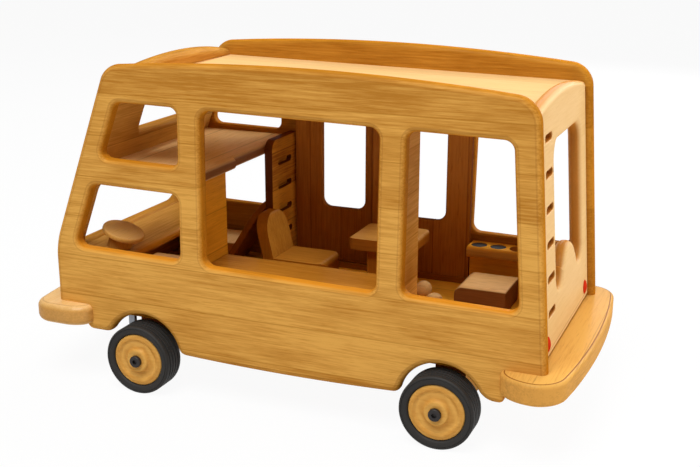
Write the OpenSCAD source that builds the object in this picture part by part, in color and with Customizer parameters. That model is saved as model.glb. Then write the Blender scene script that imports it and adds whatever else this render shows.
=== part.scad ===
// Wooden toy camper van with loose furniture, sliding doors and turning wheels.
// Sizes are in millimetres, +Z is up and the van drives toward -X.
// The origin is on the ground, under the middle of the van.

/* [Body] */
// Length over both bumpers
overall_len = 613; // [560:1:740]
// Width over the side panels
body_w = 259; // [235:1:320]
// Thickness of the big panels
board_t = 15; // [12:0.5:18]
// Crown of the side panels above the floor
body_h = 273; // [260:1:330]
// Drop of the roof board below the crown
roof_drop = 27.5; // [22:0.5:40]
// Thickness of the roof board
roof_t = 14; // [10:0.5:17]
// Thickness of the floor board
floor_t = 12; // [10:0.5:18]
// Nose-up slope of the window lines and the roof
pitch = 0.96; // [0:0.02:2]
// Rake of the windscreen from upright
rake = 20.8; // [14:0.1:24]
// Lean of the tail from upright
lean = 4.25; // [0:0.05:7]
// Front bumper face ahead of the side panels
nose_reach = 35; // [30:0.5:48]
// Rear bumper face behind the side panels
tail_reach = 28.5; // [24:0.5:44]
// Height of the knee, where the rake starts, above the floor
knee_h = 65; // [58:0.5:75]
// Radius of the side panels' long top arch
crown_r = 2400; // [1500:10:3000]
// Place of the crown along the van
crown_x = 35; // [-20:1:50]
// Set-back of the front panel from the side panels' front edge
front_set = 7; // [4:0.5:12]
// Set-back of the rear panel from the side panels' rear edge
rear_set = 6.5; // [4:0.5:12]
// Top of the front panel above the floor
front_top = 266; // [255:0.5:275]
// Top of the rear panel above the floor
rear_top = 253; // [248:0.5:265]
// Fall of the front and rear panels' top arches toward the sides
end_sag = 10.5; // [6:0.5:16]

/* [Windows] */
// Width of the window posts
post_w = 27; // [22:0.5:34]
// Nose to the middle of the front post
cab_len = 168; // [160:0.5:190]
// Tail to the middle of the rear post
rear_len = 162; // [150:0.5:190]
// Rim between the windows and the raked front edge
rim_front = 25.5; // [22:0.5:36]
// Rim between the rear window and the tail
rim_rear = 25.5; // [22:0.5:36]
// Top of all side windows above the floor
win_top = 223.5; // [205:0.5:228]
// Foot of the middle window above the floor
mid_low = 59; // [50:0.5:75]
// Foot of the cab window above the floor
cab_low = 60.5; // [50:0.5:75]
// Top of the cab window above the floor
cab_top = 133; // [115:0.5:140]
// Foot of the near bunk window above the floor
bunk_low = 162; // [158:0.5:180]
// Foot of the far bunk window above the floor
far_bunk_low = 159; // [157:0.5:180]
// Foot of the rear side window above the floor
rear_low = 61; // [50:0.5:75]
// Corner radius of the side windows
win_r = 10; // [6:0.5:14]
// Half width of the windscreen
screen_half = 98; // [80:0.5:104]
// Foot of the windscreen above the floor
screen_low = 62; // [60:0.5:75]
// Top of the windscreen above the floor
screen_top = 136; // [120:0.5:140]
// Half width of the bunk's front window
bunk_half = 54; // [40:0.5:80]
// Foot of the bunk's front window above the floor
bunk_win_low = 184; // [180:0.5:195]
// Top of the bunk's front window above the floor
bunk_win_top = 220; // [210:0.5:226]

/* [Rear opening] */
// Near edge of the rear opening
tail_y0 = -46.5; // [-50:0.5:-40]
// Far edge of the rear opening
tail_y1 = 82.5; // [70:0.5:84]
// Top of the rear opening above the floor
tail_win_top = 205; // [190:0.5:215]
// Bottom of the two notches above the floor
notch_low = 56; // [48:0.5:70]
// Radius of the two notches
notch_r = 15.5; // [12:0.5:16]
// Top of the rounded tongue above the floor
tongue_top = 90; // [80:0.5:100]
// Middle of the ladder slots in the near post
slot_y = -70; // [-74:0.5:-68]
// Length of a ladder slot
slot_len = 30; // [24:0.5:34]
// Height of a ladder slot
slot_h = 7; // [5:0.5:9]
// Height of the lowest ladder slot above the floor
slot_low = 43.5; // [36:0.5:50]
// Step from slot to slot
slot_step = 34.3; // [30:0.1:36]
// Number of ladder slots
slot_count = 6; // [4:1:6]

/* [Bumpers] */
// Height of the bumpers
bumper_h = 22.5; // [16:0.5:26]
// Front bumper beyond each side panel
bumper_over_f = 18.5; // [14:0.5:28]
// Rear bumper beyond each side panel
bumper_over_r = 24.5; // [14:0.5:28]
// Corner radius of the bumpers in plan
bumper_r = 25; // [20:0.5:34]
// Bow of the bumpers' outer faces
bumper_bow = 11; // [2:0.5:16]
// Radius of the bumpers' rounded edges
bullnose = 8; // [4:0.5:8]
// Panel notch behind the nose for the front bumper
notch_f = 34; // [30:0.5:44]
// Panel notch ahead of the tail for the rear bumper
notch_b = 40.5; // [34:0.5:48]
// Front bumper's wing behind the notch
wing_f = 11; // [4:0.5:14]
// Rear bumper's wing ahead of the notch
wing_b = 3; // [2:0.5:10]

/* [Wheels] */
// Tyre diameter
wheel_d = 77; // [64:0.5:93]
// Tyre width
wheel_w = 30; // [24:0.5:34]
// Hub diameter
hub_d = 58; // [50:0.5:60]
// Outer face of the wheels beyond the side panels
wheel_proud = 13.5; // [8:0.5:20]
// Nose to the front axle
axle_in_f = 107; // [100:0.5:120]
// Tail to the rear axle
axle_in_b = 103.5; // [98:0.5:120]
// Axle journal diameter
axle_d = 6; // [5:0.5:8]
// Axle diameter between the wheels
axle_mid_d = 10; // [9:0.5:12]
// Radial running clearance of wheel and steering pin
run_gap = 0.06; // [0.02:0.01:0.1]
// Gap between wheel and arch
arch_gap = 6.5; // [4:0.5:12]
// Arch centre above the axle
arch_lift = 2.5; // [0:0.5:6]
// Gap between tyre and floor board
tyre_gap = 1; // [0.5:0.1:3]
// Cap screw diameter
cap_d = 13; // [11:0.5:16]
// Cap screw height
cap_h = 3.6; // [3:0.1:6]
// Tread grooves in each tyre
tread_count = 4; // [2:1:5]

/* [Lower edge] */
// Sill above the ground at its ends
sill_end = 46.5; // [44:0.5:58]
// Sag of the sill in the middle
sill_sag = 6.4; // [0:0.1:8]
// Front lobe above the ground
lobe_f = 60; // [56:0.5:64]
// Rear lobe above the ground
lobe_b = 53.5; // [48:0.5:62]

/* [Bunk and partitions] */
// Top of the bunk deck above the floor
deck_top = 156; // [150:0.5:157]
// Thickness of the bunk deck
deck_t = 13; // [8:0.5:13]
// Rear edge of the bunk deck behind the front post's middle
deck_back = 2.5; // [-4:0.5:8]
// Lip of the deck over the near partition
deck_lip = 4; // [2:0.5:6]
// Thickness of the partitions
part_t = 10; // [8:0.5:12]
// Near edge of the ladder partition
ladder_y = 47; // [42:0.5:56]
// Top of the ladder partition above the floor
ladder_top = 160.5; // [158:0.5:170]
// Inner edge of the partition under the bunk
cab_wall_y = -30; // [-50:0.5:-20]
// Step of the partition under the bunk ahead of the deck edge
cab_wall_in = 9; // [6:0.5:16]
// Depth of the hanging partition
hang_depth = 44; // [36:0.5:60]
// Foot of the hanging partition above the floor
hang_low = 111; // [100:0.5:130]
// Width of a hand slot in the ladder partition
rung_w = 36; // [30:0.5:40]
// Lowest hand slot above the floor
rung_low = 45; // [40:0.5:50]
// Step from hand slot to hand slot
rung_step = 29; // [26:0.5:31]
// Number of hand slots
rung_count = 4; // [2:1:4]
// Height of a hand slot
rung_h = 7; // [5:0.5:10]
// Depth of a hand slot
rung_deep = 6; // [4:0.5:7]

/* [Bench and seats] */
// Top of the side bench above the floor
bench_top_h = 46.5; // [40:0.5:54]
// Depth of the side bench
bench_depth = 79; // [60:0.5:82]
// Thickness of the bench boards
bench_t = 10; // [8:0.5:12]
// End of the bench ahead of the rear post's middle
bench_gap = 1; // [0:0.5:10]
// Height of the cab seats above the floor
seat_h = 30; // [24:0.5:40]
// Width of the cab seats
seat_w = 54; // [44:0.5:60]
// Thickness of the passenger seat's back
seat_back_t = 8; // [6:0.5:10]
// Recline of the passenger seat's back
seat_recline = 32; // [20:0.5:34]
// Top of the passenger seat's back above the floor
seat_back_h = 82; // [60:0.5:84]

/* [Dashboard] */
// Top of the dashboard's rear edge above the floor
dash_h = 50.5; // [46:0.5:56]
// Rise of the dashboard toward the windscreen
dash_rise = 9.5; // [0:0.5:12]
// Rear edge of the dashboard behind the nose
dash_reach = 70; // [60:0.5:80]
// Thickness of the dashboard
dash_t = 12; // [8:0.5:14]
// Steering wheel diameter
steer_d = 47; // [40:0.5:56]
// Steering wheel thickness
steer_t = 6; // [5:0.5:8]
// Steering post diameter
post_d = 27; // [20:0.5:34]
// Tilt of the steering wheel
steer_tilt = 20; // [10:0.5:30]
// Steering wheel's distance from the near panel
steer_in = 34.5; // [30:0.5:60]
// Height of the steering wheel above the dashboard
steer_rise = 18.5; // [14:0.5:24]
// Steering pin diameter
pin_d = 6; // [5:0.5:8]

/* [Loose furniture] */
// Chair seat height
chair_h = 36; // [28:0.5:40]
// Chair width
chair_w = 54; // [44:0.5:56]
// Chair seat length
chair_len = 63; // [50:0.5:66]
// Height of the chair's back above the floor
chair_back_h = 85; // [74:0.5:96]
// Thickness of the chair's back
chair_back_t = 13; // [10:0.5:14]
// Recline of the chair's back
chair_recline = 13; // [5:0.5:18]
// Table height
table_h = 68; // [60:0.5:74]
// Table top thickness
table_t = 13; // [10:0.5:14]
// Table top length along the van
table_len = 78; // [64:0.5:80]
// Table top width
table_w = 66; // [56:0.5:68]
// Pedestal length along the van
foot_len = 51; // [40:0.5:54]
// Pedestal thickness
foot_w = 30; // [20:0.5:34]
// Block seat height
block_h = 26.5; // [20:0.5:32]
// Block seat length
block_len = 57.5; // [48:0.5:62]
// Block seat width
block_w = 58; // [46:0.5:62]
// Ball diameter
ball_d = 18.5; // [14:0.5:20]
// Peg diameter
peg_d = 18; // [12:0.5:20]
// Peg height
peg_h = 12; // [10:0.5:16]
// Gap under loose pieces
seat_gap = 0.2; // [0.1:0.05:0.4]

/* [Kitchen and doors] */
// Worktop height above the floor
worktop_h = 49; // [44:0.5:54]
// Worktop thickness
worktop_t = 13; // [10:0.5:15]
// Worktop depth
worktop_d = 28.5; // [26:0.5:34]
// Kitchen length
kitchen_len = 97; // [80:0.5:105]
// Depth of the kitchen body
kitchen_d = 14.5; // [12:0.5:20]
// Hob disc diameter
hob_d = 17.5; // [14:0.5:18]
// Sink diameter
sink_d = 21; // [16:0.5:22]
// Thickness of a door leaf
leaf_t = 6.1; // [5:0.1:6.5]
// Overlap of the closed door leaves
leaf_lap = 16.5; // [8:0.5:24]
// Width of a door window
leaf_win_w = 55.5; // [40:0.5:60]
// Foot of a door window above the floor
leaf_win_low = 71.5; // [60:0.5:80]
// Top of a door window above the floor
leaf_win_top = 200; // [180:0.5:206]
// Front stile of a door leaf
leaf_stile = 36; // [28:0.5:40]
// Side play of a door leaf in its groove
leaf_play = 0.3; // [0.2:0.05:0.5]
// Thickness of a track rib
rib_t = 1.8; // [1.4:0.1:2.4]
// Height of the bottom track
track_h = 7; // [5:0.5:9]
// Height of the top track
track_top_h = 8; // [7:0.5:9]

/* [Tail lights] */
// Tail light diameter
light_d = 16; // [10:0.5:18]
// Tail light distance from the middle
light_y = 92.5; // [88:0.5:98]
// Tail light height above the floor
light_h = 17; // [14:0.5:24]
// Tail light dome height
light_dome = 2.5; // [2:0.5:6]

/* [Hidden] */
$fn = 64;
half = body_w / 2;
inner = half - board_t;
floor_z = wheel_d + tyre_gap + floor_t;
nose = -overall_len / 2 + nose_reach;
tail = overall_len / 2 - tail_reach;
knee_z = floor_z + knee_h;
cut_f = nose + notch_f;
cut_b = tail - notch_b;
post_1 = nose + cab_len;
post_2 = tail - rear_len;
axle_f = nose + axle_in_f;
axle_b = tail - axle_in_b;
axle_z = wheel_d / 2;
arch_r = wheel_d / 2 + arch_gap;
arch_z = axle_z + arch_lift;
wheel_out = half + wheel_proud;
wheel_in = wheel_out - wheel_w;
deck_x = post_1 + deck_back;
bench_x0 = deck_x - cab_wall_in;
bench_x1 = post_2 - bench_gap;
seat_z = floor_z + seat_gap;
chair_x = (post_1 + post_2) / 2 - 73.2;
chair_y = ladder_y - 23;
table_x = (post_1 + post_2) / 2 + 51.5;
table_y = 41;
ball_x = table_x + 43.2;
peg_x = table_x + 62;
kitchen_x = post_2 + 18.5;
block_x = post_2 + 28;
block_y = 10;
groove_w = leaf_t + 2 * leaf_play;
track_w = 2 * groove_w + 2 * rib_t;
track_y = inner - track_w;
leaf_y_out = inner - leaf_play - leaf_t;
leaf_y_in = track_y + rib_t + leaf_play;
track_x0 = deck_x + part_t;
track_x1 = kitchen_x;
leaf_w = (track_x1 - track_x0 - 2 + leaf_lap) / 2;
leaf_x_f = track_x0 + 1.5;
leaf_x_b = track_x1 - 0.5 - leaf_w;
leaf_z0 = floor_z + 2.3;
roof_low = body_h - roof_drop - roof_t;
track_top_z = floor_z + roof_low - 5 - track_top_h;
leaf_z1 = track_top_z + 3;

// Directions of the body's own frame, seen from the side
along = [cos(pitch), -sin(pitch)];
upward = [sin(pitch), cos(pitch)];
rake_dir = [sin(rake), cos(rake)];
lean_dir = [-sin(lean), cos(lean)];

// A point of the pitched body frame in the ground frame
function body_pt(p) = p.x * along + p.y * upward;
// A point on a body level, h above the floor
function level(h) = body_pt([0, floor_z + h]);
// Where the line through p along u meets the line through q along v
function meet(p, u, q, v) = p + u * (cross(q - p, v) / cross(u, v));
// Height of the crown's arch at a place along the body
function crown(x) = floor_z + body_h - (x - crown_x) * (x - crown_x) / (2 * crown_r);
// Where a line meets the crown's arch, by repeated trial
function on_crown(p, u, h, n) =
    let (q = meet(body_pt([0, h]), along, p, u))
    n == 0 ? q : on_crown(p, u, crown(q * along), n - 1);

function unit(v) = v / norm(v);
// A rounded corner at p between its neighbours a and b
function corner(p, a, b, r, n) =
    r <= 0 ? [p] :
    let (u = unit(a - p), v = unit(b - p))
    let (turn = acos(max(-1, min(1, u * v))) / 2)
    let (c = p + unit(u + v) * r / sin(turn))
    let (s = p + u * r / tan(turn) - c, e = p + v * r / tan(turn) - c)
    let (a0 = atan2(s.y, s.x), da = atan2(e.y, e.x) - a0)
    let (sweep = da > 180 ? da - 360 : da < -180 ? da + 360 : da)
    [for (i = [0:n]) c + r * [cos(a0 + sweep * i / n), sin(a0 + sweep * i / n)]];
// An outline from corner points that each carry a radius
function rounded(pts, n = 6) =
    [for (i = [0:len(pts) - 1])
        let (k = len(pts), p = pts[i], a = pts[(i + k - 1) % k], b = pts[(i + 1) % k])
        each corner([p.x, p.y], [a.x, a.y], [b.x, b.y], p[2], n)];
function arc(c, r, a0, a1, n) =
    [for (i = [0:n]) c + r * [cos(a0 + (a1 - a0) * i / n), sin(a0 + (a1 - a0) * i / n)]];
function plain(pts) = [for (p = pts) [p.x, p.y, 0]];

// Lower edge over one wheel, from the sill level z0 through the arch to z1
function wheel_arch(x, z0, r0, z1, r1) =
    let (h0 = z0 + r0 - arch_z, h1 = z1 + r1 - arch_z)
    let (w0 = sqrt(pow(arch_r + r0, 2) - h0 * h0), w1 = sqrt(pow(arch_r + r1, 2) - h1 * h1))
    let (t0 = atan2(h0, -w0), t1 = atan2(h1, w1))
    concat(arc([x - w0, z0 + r0], r0, -90, t0 - 180, 6),
           arc([x, arch_z], arch_r, t0, t1, 20),
           arc([x + w1, z1 + r1], r1, t1 + 180, 270, 6));
// Sill between the wheels, bowed downward
function sill() =
    let (x0 = axle_f + arch_r + 6, x1 = axle_b - arch_r - 6)
    [for (i = [1:7]) [x0 + (x1 - x0) * i / 8, sill_end - sill_sag * (1 - pow(i / 4 - 1, 2))]];
// Long top edge from tail to nose
function crown_edge() =
    let (x0 = nose + 115, x1 = tail - 68)
    [for (i = [0:10]) let (x = x1 + (x0 - x1) * i / 10) body_pt([x, crown(x)])];

function side_outline() =
    let (t = on_crown([tail, floor_z], lean_dir, floor_z + body_h, 4))
    let (f = on_crown([nose, knee_z], rake_dir, floor_z + body_h, 4))
    rounded(concat(
        [[cut_f, lobe_f, 9]],
        plain(wheel_arch(axle_f, lobe_f, 14, sill_end, 10)),
        plain(sill()),
        plain(wheel_arch(axle_b, sill_end, 9, lobe_b, 20)),
        [[cut_b, lobe_b, 5], [cut_b, floor_z, 0], [tail, floor_z, 2], [t.x, t.y, 26]],
        plain(crown_edge()),
        [[f.x, f.y, 24], [nose, knee_z, 80], [nose, floor_z, 2], [cut_f, floor_z, 0]]), 8);

// A side window between two body levels and two edge lines
function window(h0, h1, p0, d0, p1, d1, r) =
    let (a = meet(level(h0), along, p0, d0), b = meet(level(h0), along, p1, d1))
    let (c = meet(level(h1), along, p1, d1), d = meet(level(h1), along, p0, d0))
    rounded([[a.x, a.y, r], [b.x, b.y, r], [c.x, c.y, r], [d.x, d.y, r]], 8);
rim_f_pt = [nose + rim_front, knee_z];
rim_b_pt = [tail - rim_rear, floor_z];
cab_post = body_pt([post_1 - post_w / 2, 0]);
mid_post_f = body_pt([post_1 + post_w / 2, 0]);
mid_post_b = body_pt([post_2 - post_w / 2, 0]);
rear_post = body_pt([post_2 + post_w / 2, 0]);
function bunk_window(low) = window(low, win_top, rim_f_pt, rake_dir, cab_post, upward, win_r - 1);
function cab_window() = window(cab_low, cab_top, rim_f_pt, rake_dir, cab_post, upward, win_r);
function mid_window(low) = window(low, win_top, mid_post_f, upward, mid_post_b, upward, win_r + 1);
function rear_window() = window(rear_low, win_top, rear_post, upward, rim_b_pt, lean_dir, win_r);

// Inner and outer faces of the end panels, seen from the side
front_out = [nose + front_set, knee_z];
front_in = front_out + [board_t / cos(rake), 0];
rear_out = [tail - rear_set, floor_z];
rear_in = rear_out - [board_t / cos(lean), 0];
apron_top = knee_z - 12;
function on_front(z) = meet(front_in, rake_dir, [0, z], [1, 0]);
function on_rear(z) = meet(rear_in, lean_dir, [0, z], [1, 0]);
// Arched end panel seen along the van
function end_outline(z0, top) =
    concat([[-inner, z0], [inner, z0]],
           [for (i = [0:16]) let (y = inner - 2 * inner * i / 16)
               [y, floor_z + top - end_sag * pow(y / inner, 2)]]);
// Opening of the rear panel: two round notches with a tongue between them
function tail_opening() =
    let (z = floor_z + notch_low + notch_r)
    let (m = (tail_y0 + tail_y1) / 2, w = (tail_y1 - tail_y0) / 2 - 2 * notch_r)
    let (low = floor_z + tongue_top - w, a = asin((z - low) / w))
    rounded(concat(
        plain(arc([tail_y0 + notch_r, z], notch_r, 180, 360, 10)),
        plain(arc([m, low], w, 180 - a, a, 14)),
        plain(arc([tail_y1 - notch_r, z], notch_r, 180, 360, 10)),
        [[tail_y1, floor_z + tail_win_top, 18], [tail_y0, floor_z + tail_win_top, 18]]), 8);
// A level slot with round ends
function slot(y, z, w, h) =
    concat(arc([y + w / 2 - h / 2, z], h / 2, -90, 90, 8), arc([y - w / 2 + h / 2, z], h / 2, 90, 270, 8));
function box(x0, y0, x1, y1, r) = rounded([[x0, y0, r], [x1, y0, r], [x1, y1, r], [x0, y1, r]], 6);

// Extrusion of a side view, from y0 over the length w
module across(y0, w) {
    translate([0, y0 + w, 0])
        rotate([90, 0, 0])
            linear_extrude(w)
                children();
}
// Extrusion of an end view, from x0 over the length w
module lengthwise(x0, w) {
    translate([x0, 0, 0])
        rotate([90, 0, 90])
            linear_extrude(w)
                children();
}
module block(x0, y0, z0, x1, y1, z1) {
    translate([x0, y0, z0])
        cube([x1 - x0, y1 - y0, z1 - z0]);
}

honey = [0.80, 0.60, 0.31];
pale = [0.88, 0.72, 0.50];
dark = [0.50, 0.30, 0.14];

// Near side panel
module side_left() {
    color(honey)
        across(-half, board_t)
            difference() {
                polygon(side_outline());
                polygon(bunk_window(bunk_low));
                polygon(cab_window());
                polygon(mid_window(mid_low));
                polygon(rear_window());
            }
}
// Far side panel, with the door opening
module side_right() {
    color(honey)
        across(inner, board_t)
            difference() {
                polygon(side_outline());
                polygon(bunk_window(far_bunk_low));
                polygon(cab_window());
                polygon(mid_window(track_h - 3));
                polygon(rear_window());
            }
}
// Raked front panel with windscreen and bunk window
module front_panel() {
    color(honey)
        difference() {
            intersection() {
                across(-inner, 2 * inner)
                    polygon([
                        meet(front_out, rake_dir, [0, apron_top], [1, 0]),
                        on_front(apron_top),
                        on_front(floor_z + front_top + 20),
                        meet(front_out, rake_dir, [0, floor_z + front_top + 20], [1, 0])]);
                lengthwise(nose - 50, 200)
                    polygon(end_outline(floor_z, front_top));
            }
            lengthwise(nose - 50, 200)
                polygon(box(-screen_half, floor_z + screen_low, screen_half, floor_z + screen_top, 10));
            lengthwise(nose - 50, 200)
                polygon(box(-bunk_half, floor_z + bunk_win_low, bunk_half, floor_z + bunk_win_top, 9));
        }
}
// Upright board under the windscreen
module front_apron() {
    color(honey)
        block(nose + front_set, -inner, floor_z, nose + front_set + board_t, inner, apron_top);
}
// Leaning rear panel with the shaped opening and the ladder slots
module rear_panel() {
    color(pale)
        difference() {
            intersection() {
                across(-inner, 2 * inner)
                    polygon([
                        rear_in,
                        rear_out,
                        meet(rear_out, lean_dir, [0, floor_z + rear_top + 20], [1, 0]),
                        on_rear(floor_z + rear_top + 20)]);
                lengthwise(tail - 120, 200)
                    polygon(end_outline(floor_z, rear_top));
            }
            lengthwise(tail - 120, 200)
                polygon(tail_opening());
            for (i = [0:slot_count - 1])
                lengthwise(tail - 120, 200)
                    polygon(slot(slot_y, floor_z + slot_low + i * slot_step, slot_len, slot_h));
            at_lights()
                translate([0, 0, -board_t - 5])
                    cylinder(d = stem_d + 2 * run_gap, h = board_t + 10);
        }
}
// Roof board between the four panels
module roof() {
    color(pale)
        across(-inner, 2 * inner)
            polygon([
                meet(level(roof_low), along, front_in, rake_dir),
                meet(level(roof_low), along, rear_in, lean_dir),
                meet(level(roof_low + roof_t), along, rear_in, lean_dir),
                meet(level(roof_low + roof_t), along, front_in, rake_dir)]);
}
module floor_board() {
    color(honey)
        block(cut_f, -inner, floor_z - floor_t, cut_b, inner, floor_z);
}
// Bullnosed bumper: a bowed plan, rounded over from the side and from the end
module bumper(s, far, cut, wing, w) {
    reach = w - 1.6 * bumper_r;
    face = [for (i = [0:12]) let (y = reach * (1 - i / 6))
        [far - s * bumper_bow * pow(y / w, 2), y, 0]];
    intersection() {
        translate([0, 0, floor_z - bumper_h])
            linear_extrude(bumper_h)
                polygon(rounded(concat(face, [
                    [far - s * bumper_bow, -w, bumper_r],
                    [wing, -w, 8],
                    [wing, -half, 0],
                    [cut, -half, 0],
                    [cut, half, 0],
                    [wing, half, 0],
                    [wing, w, 8],
                    [far - s * bumper_bow, w, bumper_r]]), 8));
        across(-w, 2 * w)
            polygon(rounded([
                [far, floor_z - bumper_h, bullnose],
                [far, floor_z, bullnose],
                [wing - s * 30, floor_z, 0],
                [wing - s * 30, floor_z - bumper_h, 0]], 6));
        lengthwise(min(far, wing) - 5, abs(far - wing) + 10)
            polygon(box(-w, floor_z - bumper_h, w, floor_z, bullnose));
    }
}
module front_bumper() {
    color(honey)
        bumper(-1, -overall_len / 2, cut_f, cut_f + wing_f, half + bumper_over_f);
}
module rear_bumper() {
    color(honey)
        bumper(1, overall_len / 2, cut_b, cut_b - wing_b, half + bumper_over_r);
}
// Sleeping deck over the cab
module bunk_deck() {
    color(dark) {
        deck_board(-inner, cab_wall_y, deck_x + deck_lip);
        deck_board(cab_wall_y, inner, deck_x);
    }
}
module deck_board(y0, y1, x) {
    z = floor_z + deck_top;
    across(y0, y1 - y0)
        polygon(rounded([
            concat(on_front(z - deck_t), 0),
            [x, z - deck_t, 5],
            [x, z, 5],
            concat(on_front(z), 0)], 5));
}
// Wall under the near half of the deck
module cab_wall() {
    color(honey)
        lengthwise(bench_x0 - part_t, part_t)
            polygon(rounded([
                [-inner, floor_z, 0],
                [cab_wall_y, floor_z, 0],
                [cab_wall_y, floor_z + deck_top - deck_t, 0],
                [-inner, floor_z + deck_top - deck_t, 0]]));
}
// Wall with hand slots beside the far door
module ladder_wall() {
    y = (ladder_y + inner) / 2;
    color(dark)
        difference() {
            lengthwise(deck_x, part_t)
                polygon(rounded([
                    [ladder_y, floor_z, 0],
                    [inner, floor_z, 0],
                    [inner, floor_z + ladder_top, 0],
                    [ladder_y, floor_z + ladder_top, 12]], 8));
            for (i = [0:rung_count - 1])
                lengthwise(deck_x + part_t - rung_deep, part_t)
                    polygon(slot(y, floor_z + rung_low + i * rung_step, rung_w, rung_h));
        }
}
// Short wall that hangs from the roof behind the near rear post
module hanging_wall() {
    x0 = post_2 + post_w / 2 - part_t;
    color(honey)
        intersection() {
            lengthwise(x0, part_t)
                polygon(rounded([
                    [-inner, floor_z + hang_low, 0],
                    [-inner + hang_depth, floor_z + hang_low, 10],
                    [-inner + hang_depth, floor_z + body_h, 0],
                    [-inner, floor_z + body_h, 0]], 6));
            across(-inner, 2 * inner)
                polygon([
                    [x0 - 5, floor_z],
                    [x0 + part_t + 5, floor_z],
                    meet(level(roof_low), along, [x0 + part_t + 5, 0], [0, 1]),
                    meet(level(roof_low), along, [x0 - 5, 0], [0, 1])]);
        }
}
module bench_top() {
    z = floor_z + bench_top_h;
    color(honey)
        block(bench_x0, -inner, z - bench_t, bench_x1, -inner + bench_depth, z);
}
module bench_front() {
    y = -inner + bench_depth;
    color(honey)
        block(bench_x0, y - bench_t, floor_z, bench_x1, y, floor_z + bench_top_h - bench_t);
}
// Top line of the sloping dashboard
dash_rear = [nose + dash_reach, floor_z + dash_h];
dash_front = on_front(floor_z + dash_h + dash_rise);
module dashboard() {
    apron_x = nose + front_set + board_t;
    ledge = on_front(apron_top);
    color(honey)
        across(-inner, 2 * inner)
            polygon(rounded([
                [ledge.x, ledge.y, 0],
                [apron_x, apron_top, 0],
                [apron_x, dash_front.y - dash_t, 0],
                [dash_rear.x, dash_rear.y - dash_t, 5],
                [dash_rear.x, dash_rear.y, 5],
                [dash_front.x, dash_front.y, 0]], 5));
}
// Steering wheel's middle and its tilted axis
steer_y = -inner + steer_in;
steer_foot = dash_front + (dash_rear - dash_front) * 0.6;
steer_pt = [steer_foot.x, steer_y, steer_foot.y] + steer_rise * [sin(steer_tilt), 0, cos(steer_tilt)];
module at_steering() {
    translate(steer_pt)
        rotate([0, steer_tilt, 0])
            children();
}
pin_len = 11;
module steering_post() {
    top = -steer_t / 2 - 0.3;
    color(honey)
        difference() {
            at_steering()
                translate([0, 0, top - 30])
                    cylinder(d = post_d, h = 30);
            at_steering()
                translate([0, 0, top - pin_len - 0.3])
                    cylinder(d = pin_d + 2 * run_gap, h = pin_len + 1);
            across(-inner, 2 * inner)
                polygon([
                    dash_front + (dash_front - dash_rear),
                    dash_front + (dash_front - dash_rear) + [0, -60],
                    dash_rear + (dash_rear - dash_front) + [0, -60],
                    dash_rear + (dash_rear - dash_front)]);
        }
}
module steering_wheel() {
    r = steer_d / 2;
    color(honey)
        at_steering() {
            rotate_extrude()
                polygon(rounded([
                    [0, -steer_t / 2, 0],
                    [r, -steer_t / 2, 2.4],
                    [r, steer_t / 2, 2.4],
                    [0, steer_t / 2, 0]], 5));
            translate([0, 0, -steer_t / 2 - pin_len])
                cylinder(d = pin_d, h = pin_len + 1);
        }
}
module driver_seat() {
    x0 = nose + 73;
    color(pale)
        intersection() {
            across(-inner + 14, seat_w)
                polygon(rounded([
                    [x0, floor_z, 0],
                    [bench_x0 - part_t, floor_z, 0],
                    [bench_x0 - part_t, floor_z + seat_h + 11, 0],
                    [x0, floor_z + seat_h + 11, 8]], 6));
            translate([0, 0, floor_z])
                linear_extrude(seat_h + 20)
                    polygon(rounded([
                        [x0, -inner + 14, 8],
                        [bench_x0 - part_t, -inner + 14, 0],
                        [bench_x0 - part_t, -inner + 14 + seat_w, 0],
                        [x0, -inner + 14 + seat_w, 8]], 6));
        }
}
// Foot of the passenger seat's reclined back, and its lean
recline_dir = [sin(seat_recline), cos(seat_recline)];
recline_pt = [deck_x - 63.5, floor_z];
seat_y0 = ladder_y + 3;
module passenger_seat() {
    x0 = recline_pt.x - 46;
    top = meet(recline_pt, recline_dir, [0, floor_z + seat_h], [1, 0]);
    color(dark)
        across(seat_y0, seat_w)
            polygon(rounded([
                [x0, floor_z, 0],
                [recline_pt.x, recline_pt.y, 0],
                [top.x, top.y, 0],
                [x0, floor_z + seat_h, 7]], 6));
}
module passenger_back() {
    shift = [seat_back_t / cos(seat_recline), 0];
    top = meet(recline_pt, recline_dir, [0, floor_z + seat_back_h], [1, 0]);
    color(dark)
        intersection() {
            across(seat_y0, seat_w)
                polygon([recline_pt, recline_pt + shift, top + shift, top]);
            lengthwise(recline_pt.x - 10, 100)
                polygon(rounded([
                    [seat_y0, floor_z, 0],
                    [seat_y0 + seat_w, floor_z, 0],
                    [seat_y0 + seat_w, floor_z + seat_back_h, seat_w / 2 - 0.5],
                    [seat_y0, floor_z + seat_back_h, seat_w / 2 - 0.5]], 12));
        }
}
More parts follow.
